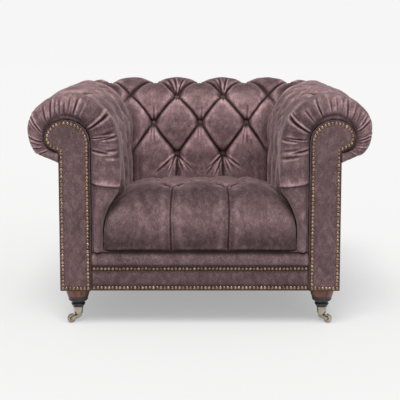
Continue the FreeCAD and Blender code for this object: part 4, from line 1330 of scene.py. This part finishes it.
def build_cover(name, corner, along, up, thick, seed):
    """A stretched panel: corner is its low front corner on the outside, along and up its sides."""
    corner, along, up, thick = (np.array(v) for v in (corner, along, up, thick))
    width, rise = np.linalg.norm(along), np.linalg.norm(up)
    step = STEP * 2.2
    v, u = spread(np.linspace(0.0, 1.0, int(rise / step) + 1), np.linspace(0.0, 1.0, int(width / step) + 1))
    base = corner + u[:, :, None] * along + v[:, :, None] * up
    edge = np.minimum(np.minimum(u, 1 - u) * width, np.minimum(v, 1 - v) * rise)
    pulls = soft_noise(noise_place(u * 0.9, v * 0.22), 0.07, seed)
    height = -hollow * smooth(edge / 0.010) + wave * soft_noise(base, 0.16, seed + 1) * smooth(edge / 0.05)
    height += pull * pulls * smooth(edge / 0.02) + hollow * smooth(edge / 0.004) - rim
    inner = np.stack([corner + thick + u[0][:, None] * along + f * up for f in (1.0, 0.0)])
    side = float(np.sign(np.dot(np.cross(along, up), -thick)))
    panel = pad_from_grid(f"stretched_{name}", base, height, inner, side, VELVET_FLAT, relief_light_gain=0.3)
    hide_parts(name)


for name, side in (("right", 1.0), ("left", -1.0)):
    low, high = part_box(f"outer_arm_cover_{name}")
    outside, within = (high[0], low[0]) if side > 0 else (low[0], high[0])
    build_cover(f"outer_arm_cover_{name}", (outside, low[1], low[2]), (0.0, high[1] - low[1], 0.0),
                (0.0, 0.0, high[2] - low[2]), (within - outside, 0.0, 0.0), 41 + int(side))
low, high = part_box("outer_back_cover")
build_cover("outer_back_cover", (low[0], high[1], low[2]), (high[0] - low[0], 0.0, 0.0),
            (0.0, 0.0, high[2] - low[2]), (0.0, low[1] - high[1], 0.0), 45)

# %% [markdown]
# ## Covered buttons
# A button is a metal shell covered with the same velvet, pulled down on a twine until the stuffing closes
# round it. A flattened sphere at the bottom of each dimple does for all of them. It lies square to the
# section, sunk by the same depth everywhere but on the crown of the back, where the stuffing is thinner.

# %% Buttons
button_radius, button_flatness, button_shade = 0.0108, 0.62, -0.22
button_sink, crown_sink = 0.0275, 0.0195


def cover_buttons(name, places, replaced):
    """places holds (centre, normal) of each button."""
    bm = bmesh.new()
    layer = bm.verts.layers.float.new("light_and_shade")
    for centre, normal in places:
        turn = Vector((0.0, 0.0, 1.0)).rotation_difference(Vector(normal)).to_matrix().to_4x4()
        made = bmesh.ops.create_uvsphere(bm, u_segments=20, v_segments=10, radius=button_radius)
        bmesh.ops.scale(bm, verts=made["verts"], vec=(1.0, 1.0, button_flatness))
        bmesh.ops.transform(bm, verts=made["verts"], matrix=turn)
        bmesh.ops.translate(bm, verts=made["verts"], vec=Vector(centre))
    # Painted shade: every button is darker, as it sits in the shadow of its dimple.
    for vert in bm.verts:
        vert[layer] = button_shade
    piece = finish_piece(name, bm, VELVET_PAD)
    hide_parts(replaced)
    print(name, len(places), "buttons")


def sunk(section, s, sink):
    """The place (w, z) below the outline at s, and the outline's normal there."""
    normal = section.read(section.normal, s)
    return section.read(section.outer, s) - sink * normal, normal


def arm_button_places(side):
    made = []
    for y, s, _ in arm_lattice():
        (w, z), normal = sunk(arm_section, s, button_sink)
        made.append(((side * w, y, z), (side * normal[0], 0.0, normal[1])))
    return made


def back_button_places():
    made = []
    for x, s, row in back_lattice():
        (w, z), normal = sunk(back_section, s, button_sink if row < crown_row else crown_sink)
        made.append(((x, w - back_shift, z), (0.0, normal[0], normal[1])))
    return made


def seat_button_places():
    made = []
    for x, s, _ in seat_lattice():
        y, z = np.interp(s, seat_reach, seat_line[:, 0]), np.interp(s, seat_reach, seat_line[:, 1])
        made.append(((x, y, z - button_sink), (0.0, 0.0, 1.0)))
    return made


cover_buttons("covered_arm_buttons_right", arm_button_places(1.0), "arm_buttons_right")
cover_buttons("covered_arm_buttons_left", arm_button_places(-1.0), "arm_buttons_left")
cover_buttons("covered_back_buttons", back_button_places(), "back_buttons")
cover_buttons("covered_seat_buttons", seat_button_places(), "seat_buttons")

# %% [markdown]
# ## Feet
# Each foot is turned: a flare, a bead, a cove and a ring above the castor's cup. The outline, as (radius,
# height), is spun round its axis, all the way and closed on itself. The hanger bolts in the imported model
# tell where the axes are.

# %% Feet
FOOT_OUTLINE = [
    (0.0, 0.1170), (0.0370, 0.1170), (0.0378, 0.1130), (0.0380, 0.1080), (0.0376, 0.0990),
    (0.0362, 0.0930), (0.0345, 0.0880), (0.0328, 0.0835), (0.0318, 0.0805), (0.0308, 0.0796),
    (0.0306, 0.0790), (0.0312, 0.0780), (0.0314, 0.0755), (0.0306, 0.0728), (0.0286, 0.0704),
    (0.0252, 0.0684), (0.0212, 0.0668), (0.0184, 0.0652), (0.0178, 0.0640), (0.0184, 0.0628),
    (0.0206, 0.0620), (0.0221, 0.0608), (0.0226, 0.0594), (0.0222, 0.0576), (0.0208, 0.0556),
    (0.0190, 0.0532), (0.0176, 0.0510), (0.0170, 0.0490), (0.0, 0.0490),
]
foot_steps = 48
bolt_radius = 0.005
bolts_low, bolts_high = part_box("foot_bolts")
foot_x = bolts_high[0] - bolt_radius
foot_front, foot_rear = bolts_low[1] + bolt_radius, bolts_high[1] - bolt_radius


def build_feet():
    bm = bmesh.new()
    for x, y in [(side * foot_x, y) for side in (-1, 1) for y in (foot_front, foot_rear)]:
        line = [bm.verts.new((radius, 0.0, z)) for radius, z in FOOT_OUTLINE]
        edges = [bm.edges.new(pair) for pair in zip(line, line[1:])]
        bmesh.ops.spin(bm, geom=line + edges, axis=(0.0, 0.0, 1.0), cent=(0.0, 0.0, 0.0), steps=foot_steps,
                       angle=2 * math.pi, use_merge=True)
        fresh = [vert for vert in bm.verts if not vert.tag]
        bmesh.ops.translate(bm, verts=fresh, vec=(x, y, 0.0))
        for vert in fresh:
            vert.tag = True
    bmesh.ops.remove_doubles(bm, verts=bm.verts, dist=weld)
    bmesh.ops.recalc_face_normals(bm, faces=bm.faces)
    feet = finish_piece("turned_lacquered_feet", bm, FOOT_WOOD)
    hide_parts("turned_feet")


build_feet()
print("feet at x", round(foot_x, 4), "y", round(foot_front, 4), round(foot_rear, 4))
